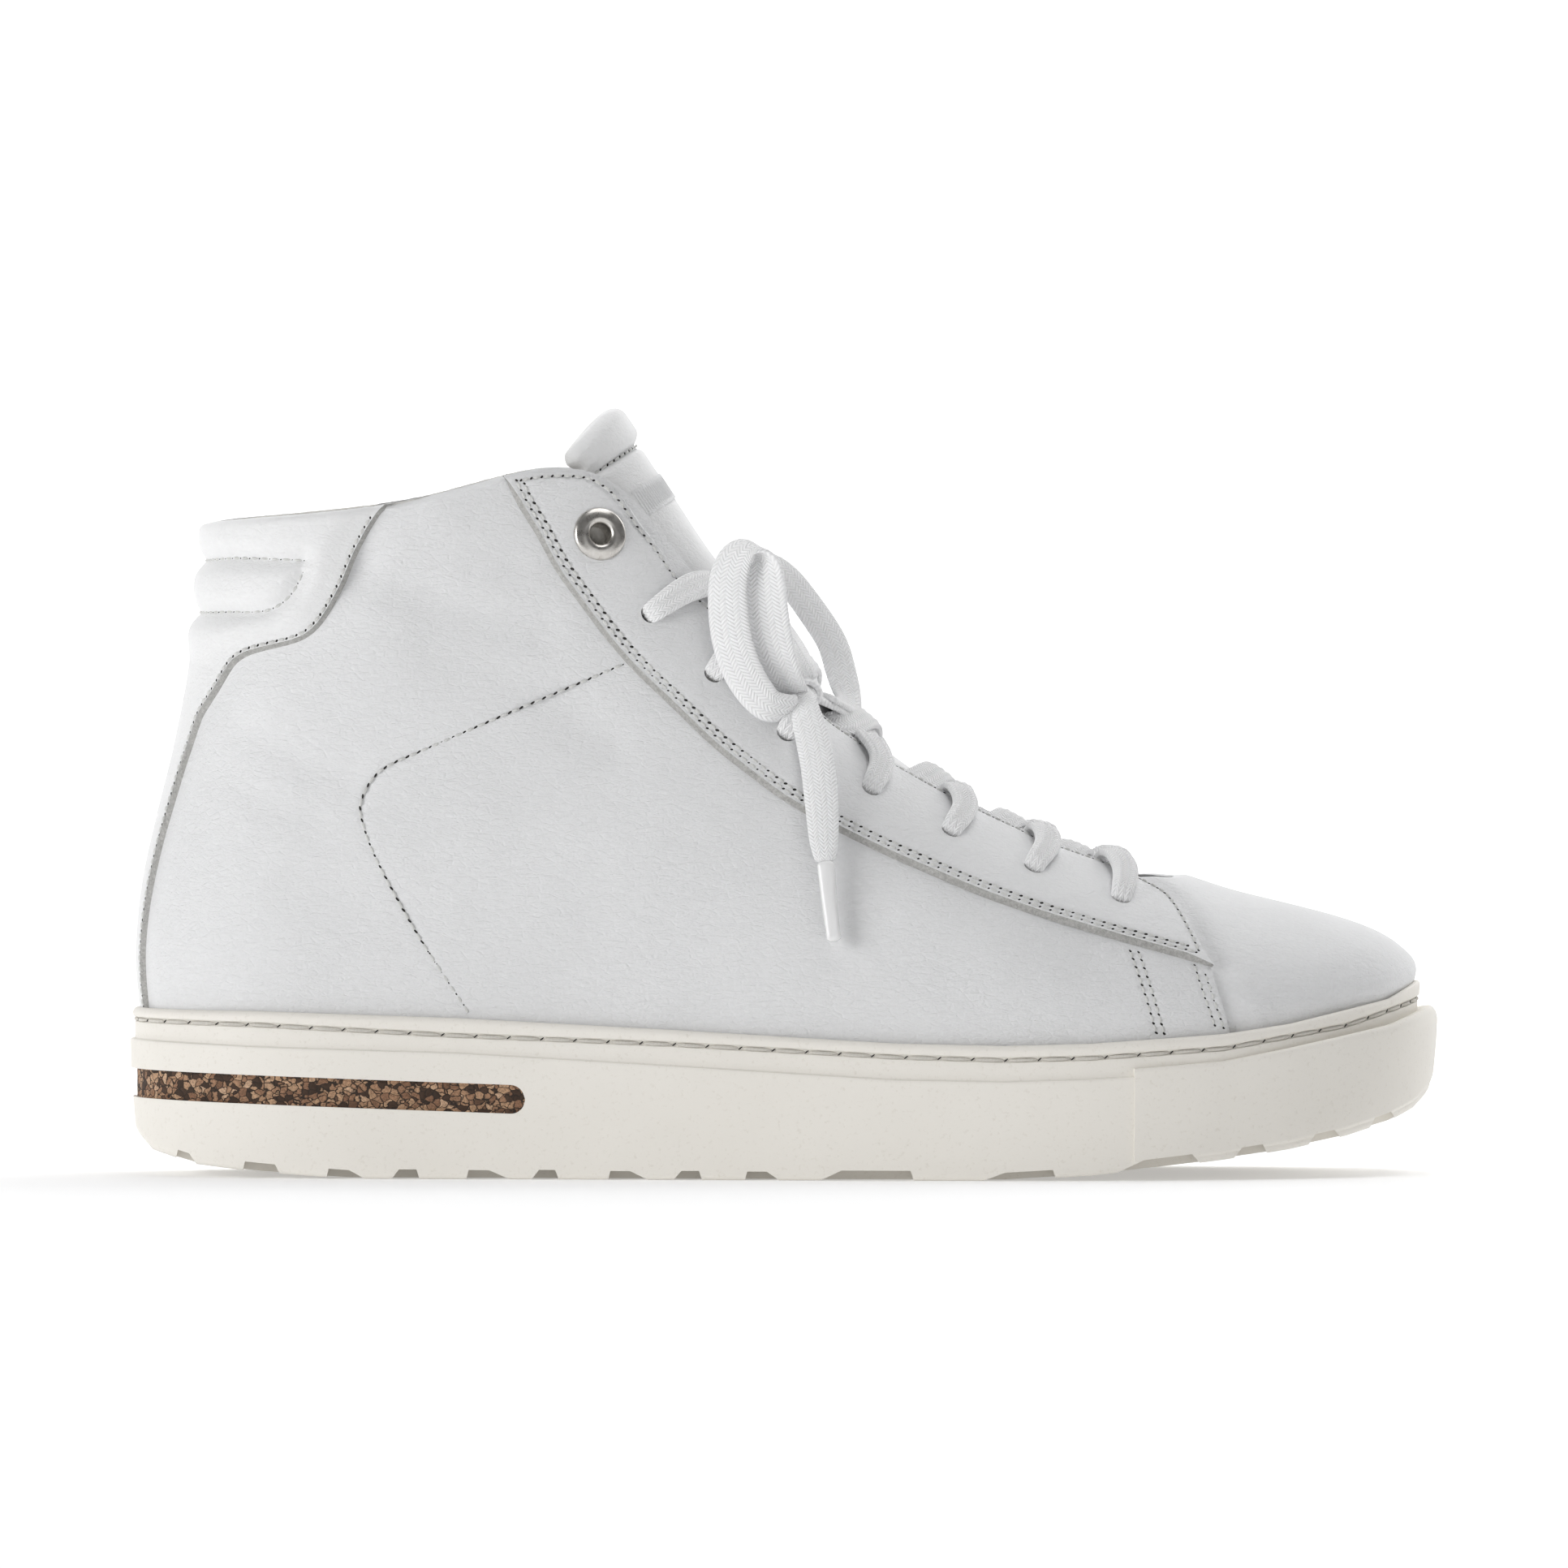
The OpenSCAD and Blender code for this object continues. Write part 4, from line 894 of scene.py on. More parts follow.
def quarter(side, name, node_name):
    rows, columns = 130, 340
    v = np.linspace(0, TOP, rows + 1)[:, None]
    back = edge_u(v, heel_edge) - 0.3
    front = edge_u(v, front_edge)
    u = back + (front - back) * np.linspace(0, 1, columns + 1)[None, :]
    v = v + 0 * u
    p = surface(RING - u if side > 0 else u, v)
    d_heel = near_heel_edge(p)
    covered = u < edge_u(v, heel_edge)
    h = UNDER_HEEL * np.where(covered, 1, 1 - smooth((d_heel - 0.4) / 9))
    h = h - TOPLINE_R * roll_over(u, v)
    h -= SEAM_DIP * bell(near_seams(p), SEAM_W)
    for near, depth, width in near_folds:
        h -= depth * bell(near(p), width)
    h += waves(p, 16, 0.22) * smooth((u - 1.5) / 2)
    h += np.where(covered, 0, 1) * round_edge(near_front_line(p))
    thick = LEATHER_T * (1 - 0.93 * roll_over(u, v))
    obj = panel(name, u, v, h, np.minimum(h, 0) - thick, side)
    punch(obj, HOLES, side, HOLE_R + 0.1)
    punch(obj, [METAL_EYELET], side, EYELET_HOLE_R)
    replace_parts(obj, node_name)


def heel_panel():
    edge = heel_edge[::-1]
    v = (edge[:, 1] + np.arange(len(edge)) * 1e-6)[:, None]
    s = np.linspace(-1, 1, 231)[None, :]
    low_u, low_v = edge[:, :1] * s, v + 0 * s
    cut = shift(heel_edge, -RAW_HEEL)[::-1]
    u = cut[:, :1] * s
    v = np.where(v > 4.99, v, cut[:, 1:]) + 0 * u
    p = surface(u, v)
    d_edge = near_heel_edge(p)
    d_channel = near_channels(p)
    soft = smooth((v - 3.72) / 0.3) * smooth((d_edge - 1.5) / 7)
    h = 0.3 + 1.25 * soft - 1.9 * bell(d_channel, 2.6) * smooth((v - 3.6) / 0.3)
    h -= 0.5 * bell(d_channel, 0.9)
    h = h - TOPLINE_R * roll_over(u, v)
    h -= SEAM_DIP * bell(near_heel_row(p), SEAM_W)
    h += round_edge(d_edge) * (1 - smooth((v - 4.9) / 0.1))
    h += waves(p, 9, 0.12)
    under = skin(low_u, low_v, np.minimum(-0.9, h - 0.15))
    points, faces, slots = shell(skin(u, v, h), under, 5, jitter=0.05, seed=3)
    obj = make("heel_panel_leather", points, faces, [SOFT_LEATHER, RAW_EDGE], face_slot=slots, merge=MERGE)
    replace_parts(obj, "heel_panel", "collar_foam")


def eyestay(side, name, node_name):
    columns, rows = 330, 42
    low = along_skin(eyestay_low, count=columns + 1)
    high = along_skin(eyestay_high, count=columns + 1)
    t = np.linspace(0, 1, rows + 1)[:, None, None]
    fade = np.minimum(1, 10 * np.sin(np.linspace(0, math.pi, columns + 1)))
    base = low[None] * (1 - t) + high[None] * t
    high_cut = -RAW_HIGH * fade * (0.3 + 0.7 * smooth((high[:, 0] - 6) / 0.8))
    uv = shift(low, RAW_LOW * fade)[None] * (1 - t) + shift(high, high_cut)[None] * t
    u, v = uv[..., 0], uv[..., 1]
    p = surface(RING - u if side > 0 else u, v)
    d = near_stay_edge(p)
    h = OVERLAY + round_edge(d, 0.8, 0.35) - SEAM_DIP * bell(near_stay_rows(p), SEAM_W) + waves(p, 12, 0.12)
    for hole in HOLES:
        c = surface(*mirrored([hole], side)[0])
        h -= 0.5 * bell(np.linalg.norm(p - c, axis=-1), HOLE_R + 1.2)
    from_high = np.linalg.norm(p - p[-1:], axis=-1)
    h -= (OVERLAY + 0.1) * (1 - smooth(from_high / 2.8)) * (1 - smooth((u - 6.2) / 0.5))
    low_u = RING - base[..., 0] if side > 0 else base[..., 0]
    outer = skin(RING - u if side > 0 else u, v, h)
    under = skin(low_u, base[..., 1], 0.05)
    points, faces, slots = shell(outer, under, 5, flip=side > 0, jitter=0.07, seed=5)
    obj = make(name, points, faces, [LEATHER, RAW_EDGE], face_slot=slots, merge=MERGE)
    punch(obj, HOLES, side, HOLE_R)
    punch(obj, [METAL_EYELET], side, EYELET_HOLE_R)
    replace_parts(obj, node_name)


def vamp():
    u, v = np.meshgrid(np.linspace(SEAM_U - 0.35, RING - SEAM_U + 0.35, 261), np.linspace(0, TOP, 121))
    p = surface(u, v)
    d = near_front_edge(p)
    own = np.minimum(u, RING - u)
    covered = (own < edge_u(v, front_edge)) & (v < 2.3)
    h = UNDER_FRONT * np.where(covered, 1, 1 - smooth((d - 0.4) / 8))
    h += waves(p, 18, 0.2) + 1.7 * smooth((own - 13.6) / 1.6) * bell(v - 0.75, 0.85)
    h -= 1.1 * smooth((v - 4.8) / 0.2) ** 2
    thick = LEATHER_T * (1 - 0.85 * smooth((v - 4.8) / 0.2))
    obj = panel("vamp_leather", u, v, h, h - thick, LATERAL, 7)
    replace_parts(obj, "vamp")


PUFF_U, PUFF_LOW_V, PUFF_HIGH_V = 13.3, 0.15, 2.3


def linings():
    u, v = np.meshgrid(np.linspace(-SEAM_U, SEAM_U, 251), TOP * np.sin(np.linspace(0, math.pi / 2, 91)))
    h = inner_height(u, v)
    points, faces, slots = shell(skin(u, v, h), skin(u, v, h + 0.7 * (1 - roll_over(u, v))), 2, flip=True)
    obj = make("quarter_lining_cloth", points, faces, [LINING, LINING], face_slot=slots, merge=MERGE)
    for side in (LATERAL, MEDIAL):
        punch(obj, [METAL_EYELET] + HOLES, side, HOLE_R + 0.4)
    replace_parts(obj, "quarter_lining")
    u, v = np.meshgrid(np.linspace(SEAM_U, RING - SEAM_U, 91), np.linspace(0, TOP, 41))
    h = inner_height(u, v)
    points, faces, _ = shell(skin(u, v, h), skin(u, v, h + 0.8), 2, flip=True)
    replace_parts(make("vamp_lining_cloth", points, faces, LINING, merge=MERGE), "vamp_lining")
    u, v = np.meshgrid(np.linspace(PUFF_U, RING - PUFF_U, 81), np.linspace(PUFF_LOW_V, PUFF_HIGH_V, 25))
    points, faces, _ = shell(skin(u, v, -1.75), skin(u, v, -2.35), 2)
    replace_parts(make("toe_puff_board", points, faces, BOARD, merge=MERGE), "toe_puff")


# ---------------------------------------------------------------- stitches
STITCH_RINGS = [(-0.5, 0.0), (-0.43, 0.7), (-0.2, 1.0), (0.2, 1.0), (0.43, 0.7), (0.5, 0.0)]
STITCH_SIDES = 6


def stitch_shape(length, radius):
    """One plump stitch, its ends sinking into the needle holes."""
    a = np.arange(STITCH_SIDES) * 2 * math.pi / STITCH_SIDES
    points = []
    for x, fat in STITCH_RINGS:
        lift = radius * (0.25 - 1.6 * (2 * x) ** 4)
        for w in a:
            points.append([x * length, radius * fat * math.cos(w), lift + radius * fat * math.sin(w)])
    return np.array(points)


def pit_shape(length, width, degrees):
    """A needle hole: a thin lens of painted shade, set slantwise."""
    turn = math.radians(degrees)
    a = np.arange(8) * 2 * math.pi / 8
    ring = np.stack([0.5 * length * np.cos(a), 0.5 * width * np.sin(a), np.full(8, -0.05)], -1)
    top_ring = ring * [0.7, 0.7, 0] + [0, 0, 0.07]
    p = np.concatenate([ring, top_ring, [[0, 0, 0.1]]])
    spin = np.array([[math.cos(turn), -math.sin(turn), 0], [math.sin(turn), math.cos(turn), 0], [0, 0, 1]])
    quads = [[i, (i + 1) % 8, 8 + (i + 1) % 8, 8 + i] for i in range(8)]
    tris = [[8 + i, 8 + (i + 1) % 8, 16, 16] for i in range(8)]
    return p @ spin.T, np.array(quads + tris)


def place_all(shape, centres, run, up):
    side = unit(np.cross(up, run))
    up = np.cross(run, side)
    p = (centres[:, None] + shape[None, :, :1] * run[:, None] + shape[None, :, 1:2] * side[:, None]
         + shape[None, :, 2:] * up[:, None])
    return p.reshape(-1, 3)


def sew(name, lines, pitch=2.5, radius=0.34, pit=0.6, thread=None, fill=0.74, slant=1.6, turn=38):
    """lines: (points, outward normals) of each row. One piece with threads and needle holes, the holes dark lenses of
    painted shade.
    """
    stitch = stitch_shape(pitch * fill, radius)
    stitch_f = turned_faces(len(STITCH_RINGS), STITCH_SIDES)
    pit_p, pit_f = pit_shape(pit * slant, pit, turn)
    points, faces, slots, base = [], [], [], 0
    for line, up in lines:
        s = arc_lengths(line)
        count = max(2, int(round(s[-1] / pitch)))
        mids = (np.arange(count) + 0.5) * s[-1] / count
        gaps = np.arange(count + 1) * s[-1] / count
        run_all = unit(np.gradient(line, axis=0))

        def at(values, where):
            return np.stack([np.interp(where, s, values[:, k]) for k in range(3)], -1)

        for where, shape, shape_faces, slot in ((mids, stitch, stitch_f, 0), (gaps, pit_p, pit_f, 1)):
            p = place_all(shape, at(line, where), unit(at(run_all, where)), unit(at(up, where)))
            f = (shape_faces[None] + (np.arange(len(where)) * len(shape))[:, None, None] + base).reshape(-1, 4)
            points.append(p)
            faces.append(f)
            slots += [slot] * len(f)
            base += len(p)
    faces = [[i for k, i in enumerate(f) if i not in f[:k]] for f in np.concatenate(faces).tolist()]
    return make(name, np.concatenate(points), faces, [thread or THREAD, NEEDLE_HOLE_SHADE], face_slot=slots, sharp=60)


def skin_line(uv, height, side=LATERAL):
    m = mirrored(uv, side)
    return skin(m[:, 0], m[:, 1], np.zeros(len(m)) + height), normal(m[:, 0], m[:, 1])


def upper_stitching():
    for side, tag in SIDES:
        stay = OVERLAY - SEAM_DIP + 0.06
        sew("stay_stitches_" + tag, [skin_line(low_rows[1], stay, side)], pit=0.66)
        sew("edge_stitches_" + tag, [skin_line(r, stay, side) for r in (low_rows[0], high_row)], pit=0.5)
        sew("side_stitches_" + tag, [skin_line(side_row, -SEAM_DIP + 0.06, side)], pitch=2.8, pit=0.5,
            slant=2.4, turn=14)
        rows = [skin_line(r, -SEAM_DIP + 0.08, side) for r in front_rows + second_rows]
        sew("front_stitches_" + tag, rows, pitch=2.3)
    v_heel = heel_row[:, 1]
    soft = 0.3 - SEAM_DIP + 0.06
    rows = [skin_line(heel_row[v_heel < 4.93], soft, s) for s in (LATERAL, MEDIAL)]
    sew("heel_stitches", rows, pit=0.52)
    sew("collar_stitches", [skin_line(c, -0.78) for c in channels], pitch=2.9, radius=0.3, pit=0.3)


# ---------------------------------------------------------------- sole
GROUND = [[-156, 14], [-151, 11], [-148.5, 9.5], [-145, 6], [-135, 3], [-120, 1.3], [-100, 0], [50, 0],
          [70, 1.2], [85, 2.8], [100, 4.6], [115, 6.8], [128, 9.6], [138, 12.6], [144, 15.4], [148, 19],
          [151, 24], [156, 30]]
WALL_TOP = [[-156, 31.5], [-120, 30], [-75, 28.8], [-25, 26], [25, 23], [50, 22.6], [70, 23.2], [82, 23.9],
            [100, 25.4], [115, 28], [138, 32.6], [148, 35], [156, 37]]
RIM_TOP = [[-156, 38.5], [-120, 38.2], [-75, 36.8], [-25, 34.2], [25, 31.3], [50, 30.8], [70, 31.3],
           [100, 33.3], [115, 35.4], [138, 40.6], [146, 44.8], [156, 47]]
THREAD_LINE = [[-156, 35.8], [-120, 35], [-75, 32.8], [-25, 30.9], [25, 28.2], [50, 27.5], [70, 28],
               [100, 30], [128, 34.8], [148, 41], [156, 42]]
BUMPER_TOP = [[79.5, 25.6], [100, 27.2], [115, 30], [138, 34.8], [148, 38.6], [156, 41]]
EDGE_LINE = [[-156, 36], [-120, 35.2], [-75, 33.4], [-25, 30.7], [25, 28.9], [50, 28.5], [70, 28.7],
             [100, 30.8], [115, 33.2], [128, 36], [138, 39.4], [144, 42], [156, 46]]
RIM_W = 4
BUMPER_FROM = 79.5
CORK_FRONT, CORK_Z, CORK_SLOPE, CORK_HALF, CORK_DEEP = -62.7, 18.3, -0.0332, 3.3, 1.7
# Notches between the lugs, from heel to toe: low left, high left, high right, low right, depth
NOTCHES = [[-139.5, -139, -136.4, -134.7, 2.0], [-124, -123.5, -116.6, -115.5, 2.1],
           [-104.8, -104.3, -99.6, -96, 2.0], [-89.9, -88.2, -84.2, -83.5, 2.2], [-72.8, -72.3, -67.6, -62.9, 2.1],
           [-57.9, -56.2, -52.5, -51.7, 2.2], [-40.4, -39.9, -35.4, -31.3, 2.0], [-25.5, -23.7, -19.7, -19, 2.1],
           [-9.2, -8.7, -4.2, -1.4, 2.0], [7.9, 12.8, 28.5, 29.3, 2.3], [45, 50, 60.9, 61.6, 1.9],
           [75.5, 81.8, 92.7, 94.5, 2.3], [102.3, 104.2, 108.9, 109.9, 2.2], [119.4, 121, 125.4, 126.8, 2.1],
           [133.6, 135, 138.6, 139.6, 2.0]]


def curve_of(table, x):
    t = np.asarray(table, float)
    return np.interp(x, t[:, 0], t[:, 1])


def rim_width(x):
    return np.interp(x, [-150, -100, 100, 143], [2.7, RIM_W, RIM_W, RIM_W + 3])


def setback(x):
    """How far the rim and the stitched band step in behind the wall near the toe."""
    return np.maximum(rim_width(x) - RIM_W, 0)


def plan(u, out):
    p = surface(u, 0 * u)
    along, _ = slopes(u, 0 * u)
    n = unit(np.stack([along[:, 1], -along[:, 0]], -1))
    return p[:, :2] + np.asarray(out, float)[..., None] * n


def station_u(count):
    """u of evenly spaced stations on the lateral half of the outline."""
    u = np.linspace(0, LAST, 1600)
    return np.interp(np.linspace(0, 1, count), arc_lengths(plan(u, rim_width(surface(u, 0 * u)[:, 0]))) /
                     arc_lengths(plan(u, rim_width(surface(u, 0 * u)[:, 0])))[-1], u)


def wall_point(u, out, z):
    """Point on the wall: out from its main face, z a height, or a curve looked up at the point's own x."""
    base = surface(u, 0 * u)[:, 0]
    xy = plan(u, rim_width(base) + out)
    return np.concatenate([xy, (z(xy[:, 0]) if callable(z) else z + 0 * u)[:, None]], 1)


def level(table, rise=0.0):
    return lambda x: curve_of(table, x) + rise


HALF_STATIONS = 430


def ring_u(half):
    return np.concatenate([half, RING - half[-2:0:-1]])


def cap(ring_ids, points, columns, height, base, flip):
    """Closes a ring of paired stations with a grid from side to side."""
    n = len(ring_ids) // 2
    grid = np.zeros((n + 1, columns + 1), int)
    new = []
    for i in range(n + 1):
        a, b = ring_ids[i], ring_ids[(2 * n - i) % (2 * n)]
        for c in range(columns + 1):
            if i in (0, n) or c == 0:
                grid[i, c] = a
            elif c == columns:
                grid[i, c] = b
            else:
                p = points[a] + (points[b] - points[a]) * c / columns
                new.append([p[0], p[1], height(p[0])])
                grid[i, c] = base + len(new) - 1
    faces = []
    for i in range(n):
        for c in range(columns):
            f = [grid[i, c], grid[i, c + 1], grid[i + 1, c + 1], grid[i + 1, c]]
            f = [q for k, q in enumerate(f) if q not in f[:k]]
            if len(f) > 2:
                faces.append(f[::-1] if flip else f)
    return new, faces


def apply_cut(obj, cutter):
    change = obj.modifiers.new("cut", "BOOLEAN")
    change.operation = "DIFFERENCE"
    change.solver = "EXACT"
    change.object = cutter
    bpy.context.view_layer.update()
    mesh = bpy.data.meshes.new_from_object(obj.evaluated_get(bpy.context.evaluated_depsgraph_get()))
    obj.modifiers.remove(change)
    obj.data = mesh
    bpy.data.objects.remove(cutter)
    mesh.polygons.foreach_set("use_smooth", np.ones(len(mesh.polygons), bool))
    mesh.set_sharp_from_angle(angle=math.radians(30))


def notch_cutter():
    lateral = wall_point(np.linspace(0, LAST, 400), 0, 0)
    points, faces = [], []
    for side, shift_x in ((LATERAL, 0.0), (MEDIAL, 5.0)):
        for low_l, high_l, high_r, low_r, depth in NOTCHES:
            mid = 0.5 * (low_l + low_r)
            at = np.interp(mid, lateral[:, 0], np.arange(400)) * LAST / 399
            edge_y = wall_point(mirrored([[at, 0]], side)[:, 0], 0, 0)[0, 1]
            inner = edge_y - side * min(13.0, 0.4 * abs(edge_y) + 2)
            base = len(points)
            outline = [[low_l, -2.0], [low_l, 0], [high_l, depth], [high_r, depth], [low_r, 0], [low_r, -2.0]]
            for y in (edge_y + side * 25, inner):
                for x, z in outline:
                    x = x + shift_x
                    points.append([x, y, z + curve_of(GROUND, x)])
            n = len(outline)
            loop = list(range(n))
            faces += [[base + i for i in loop], [base + n + i for i in loop[::-1]]]
            faces += [[base + i, base + n + i, base + n + (i + 1) % n, base + (i + 1) % n] for i in loop]
            if side > 0:
                faces[-(n + 2):] = [f[::-1] for f in faces[-(n + 2):]]
    obj = make("notches", points, faces, RUBBER, body=None)
    face_outward(obj)
    return obj


def cork_stations():
    lateral = np.linspace(0, 8, 500)
    x = wall_point(lateral, 0, 0)[:, 0]
    tip = CORK_FRONT + CORK_HALF * np.sin(np.linspace(math.pi / 2 - 0.02, 0, 14))
    u_tip = np.interp(tip, x, lateral)
    u = np.concatenate([u_tip, np.linspace(u_tip[-1], 0, 150)[1:]])
    return np.concatenate([u, -u[-2::-1]])


def cork_half(x):
    return np.sqrt(np.maximum(CORK_HALF**2 - np.maximum(x - CORK_FRONT, 0) ** 2, 1e-4))


def cork_mid(x):
    return CORK_Z + CORK_SLOPE * (x - CORK_FRONT)


def closed_band(rows, turn):
    """Rows joined all round, with both ends closed; turn -1 turns the side faces over."""
    m, n = len(rows), len(rows[0])
    faces = [f[::turn] for f in grid_faces(m, n, wrap=True).tolist()]
    faces += [[i * n for i in range(m)], [i * n + n - 1 for i in range(m)][::-1]]
    return np.concatenate(rows), faces


def cork_band(low, high, rows, grow=0.0):
    """Closed band along the cork window, between two depths of the wall."""
    u = cork_stations()
    loops = []
    for out, t in [(low, t) for t in np.linspace(-1, 1, rows)] + [(high, t) for t in np.linspace(1, -1, rows)]:
        loops.append(wall_point(u, out, lambda x, t=t: cork_mid(x) + t * (cork_half(x) + grow)))
    return closed_band(loops, 1)


def outsole():
    u = ring_u(station_u(HALF_STATIONS + 1))
    n = len(u)
    x0 = surface(u, 0 * u)[:, 0]
    inner = -rim_width(x0) - 1.2
    back = setback(x0)
    rows = [wall_point(u, inner, level(RIM_TOP, -3.0)), wall_point(u, inner + 1.4, level(RIM_TOP, -1.6))]
    r = 1.45
    for w in (125, 105, 90, 70, 50, 30, 12, 0, -14):
        a = math.radians(w)
        rows.append(wall_point(u, -0.5 - r + r * math.cos(a) - back, level(RIM_TOP, r * (math.sin(a) - 1))))
    for out, rise in ((-0.62, 0.78), (-0.85, 0.62), (-1.45, 0.42), (-1.7, 0.1), (-1.7, -0.1), (-1.45, -0.42),
                      (-1.1, -0.62), (-1.05, -0.85)):
        rows.append(wall_point(u, out - back, level(THREAD_LINE, rise)))
    for t in (0.35, 0.7):
        rows.append(wall_point(u, -1.05 - back, lambda x, t=t: (1 - t) * (curve_of(THREAD_LINE, x) - 0.85)
                               + t * (curve_of(WALL_TOP, x) + 0.6)))
    for out, rise in ((-1.05, 0.5), (-0.98, 0.2), (-0.8, 0.04), (-0.35, 0.0), (-0.12, -0.12), (0.0, -0.4),
                      (0.0, -0.8)):
        rows.append(wall_point(u, out - back * min(1, -out / 0.6), level(WALL_TOP, rise)))
    for t in np.linspace(0.08, 0.94, 9):
        lean = -1.1 * t**1.6
        rows.append(wall_point(u, lean, lambda x, t=t: (1 - t) * (curve_of(WALL_TOP, x) - 0.8)
                               + t * (curve_of(GROUND, x) + 2.0)))
    for out, rise in ((-1.12, 1.9), (-1.2, 1.2), (-1.45, 0.55), (-1.95, 0.14), (-2.7, 0.0)):
        rows.append(wall_point(u, out, level(GROUND, rise)))
    pts = np.concatenate(rows)
    faces = grid_faces(len(rows), n)
    wrap = [[i * n + n - 1, i * n, (i + 1) * n, (i + 1) * n + n - 1] for i in range(len(rows) - 1)]
    faces = [f[::-1] for f in faces.tolist()] + [f[::-1] for f in wrap]
    top_new, top_faces = cap(list(range(n)), pts, 4, level(RIM_TOP, -3.0), len(pts), True)
    pts = np.concatenate([pts, top_new])
    last = (len(rows) - 1) * n
    low_new, low_faces = cap(list(range(last, last + n)), pts, 22, level(GROUND), len(pts), False)
    pts = np.concatenate([pts, low_new])
    obj = make("cup_sole", pts, faces + top_faces + low_faces, RUBBER, sharp=30)
    face_outward(obj)
    apply_cut(obj, notch_cutter())
    band, band_faces = cork_band(-CORK_DEEP, 3.0, 2)
    cutter = make("window", band, band_faces, RUBBER, body=None, merge=0.001)
    face_outward(cutter)
    apply_cut(obj, cutter)
    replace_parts(obj, "outsole")


def cork():
    p, faces = cork_band(-CORK_DEEP - 1.2, -CORK_DEEP + 0.12, 9, 0.1)
    rough = np.array([noise.noise(Vector((q / 1.1).tolist())) for q in p])
    side = unit(p * [1, 1, 0] - [[-90, 0, 0]])
    obj = make("cork_band", p + side * rough[:, None] * 0.14, faces, CORK, sharp=50)
    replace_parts(obj, "cork_inlay")


def toe_bumper():
    half = station_u(HALF_STATIONS + 1)
    x = wall_point(half, 0, 0)[:, 0]
    start = np.interp(BUMPER_FROM, x, half)
    half = np.concatenate([[start], half[x > BUMPER_FROM + 0.6]])
    u = np.concatenate([half, RING - half[-2::-1]])
    turn = np.interp(surface(u, 0 * u)[:, 0], [80, 128, 146], [0.7, 1.2, 2.9])
    proud = 0.55
    back = setback(surface(u, 0 * u)[:, 0])
    rows = [wall_point(u, -2.0 - back, level(BUMPER_TOP, -0.2)),
            wall_point(u, proud - turn - 0.5, level(BUMPER_TOP))]
    for w in (90, 70, 50, 30, 12, 0):
        a = math.radians(w)
        out = proud - turn + turn * math.cos(a)
        xy = wall_point(u, out, level(BUMPER_TOP))
        xy[:, 2] += turn * 1.5 * (math.sin(a) - 1)
        rows.append(xy)
    for t in (0.25, 0.5, 0.75, 1.0):
        lean = proud - 0.9 * t**1.6
        rows.append(wall_point(u, lean, lambda q, t=t: (1 - t) * (curve_of(BUMPER_TOP, q) - 4.4)
                               + t * (curve_of(GROUND, q) + 2.4)))
    for out, rise in ((-0.55, 1.9), (-0.9, 1.55), (-2.2, 1.6)):
        rows.append(wall_point(u, out, level(GROUND, rise)))
    pts, faces = closed_band(rows, -1)
    obj = make("toe_bumper_rubber", pts, faces, RUBBER, sharp=30)
    apply_cut(obj, notch_cutter())
    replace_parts(obj, "toe_bumper")


def sole_stitching():
    u = ring_u(station_u(HALF_STATIONS + 1))
    u = np.concatenate([u, u[:1]])
    line = wall_point(u, -1.3 - setback(surface(u, 0 * u)[:, 0]), level(THREAD_LINE))
    out = wall_point(u, 0, level(THREAD_LINE)) - line
    obj = sew("sidewall_stitches", [(line, unit(out * [1, 1, 0]))], pitch=7.6, radius=0.42, pit=0.34,
              thread=SOLE_THREAD, fill=0.93, slant=3.6)
    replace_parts(obj, "sidewall_thread")


def footbed():
    half = station_u(161)[2:-2]
    a = plan(half, 0 * half - 6.0)
    b = plan(RING - half, 0 * half - 6.0)
    t = np.linspace(0, 1, 25)[None, :, None]
    xy = a[:, None] * (1 - t) + b[:, None] * t
    edge = np.abs(2 * t[..., 0] - 1)
    z = curve_of(EDGE_LINE, xy[..., 0]) + 7.2 + 2.2 * edge**6
    z = z + 1.6 * bell(xy[..., 0] + 112, 34) * (edge**2 - 0.6)
    top = np.concatenate([xy, z[..., None]], -1)
    low = np.concatenate([xy, (z - 3)[..., None]], -1)
    points, faces, slots = shell(top, low, 2)
    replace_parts(make("footbed_suede", points, faces, [FOOTBED, BOARD], face_slot=slots), "footbed_cover")


# ---------------------------------------------------------------- tongue
TONGUE_LINE = padded_ends(np.array([
    [96, 6, 62], [84, 5, 66], [68, 4, 71], [50, 3, 79], [32, 1, 90.5], [14, 0, 104],
    [-2, 0, 121], [-14, 0, 138], [-24, 0, 153], [-33, 0, 166.5], [-39.5, 0, 176.5]], float))
TONGUE_END = 10
TONGUE_HALF_W, TONGUE_DROP = 24, 27
TONGUE_T = 6.5
TONGUE_SEAM = 9.14
LABEL_FROM, LABEL_TO, LABEL_HALF = 8.17, 8.58, 0.74


def line_at(s):
    s = np.asarray(s, float)
    j = np.minimum(np.floor(s).astype(int), len(TONGUE_LINE) - 4)
    w = weights(s - j)
    return sum(w[..., k, None] * TONGUE_LINE[j + k] for k in range(4))


def on_tongue(s, t, height=0.0):
    s, t, height = np.broadcast_arrays(np.asarray(s, float), np.asarray(t, float), np.asarray(height, float))
    a = np.clip(s, STEP, TONGUE_END - STEP)
    d = line_at(a + STEP) - line_at(a - STEP)
    n = unit(np.stack([d[..., 2], 0 * a, -d[..., 0]], -1))
    turn = np.radians(t * np.interp(s, [0, 3, 6, 10], [50, 55, 58, 58]))
    p = line_at(s) + height[..., None] * n
    drop = TONGUE_DROP * np.interp(s, [0, 2.5], [0.6, 1])
    p = p - ((drop + height) * (1 - np.cos(turn)))[..., None] * n
    p[..., 1] += (TONGUE_HALF_W + height) * np.sin(turn)
    return p


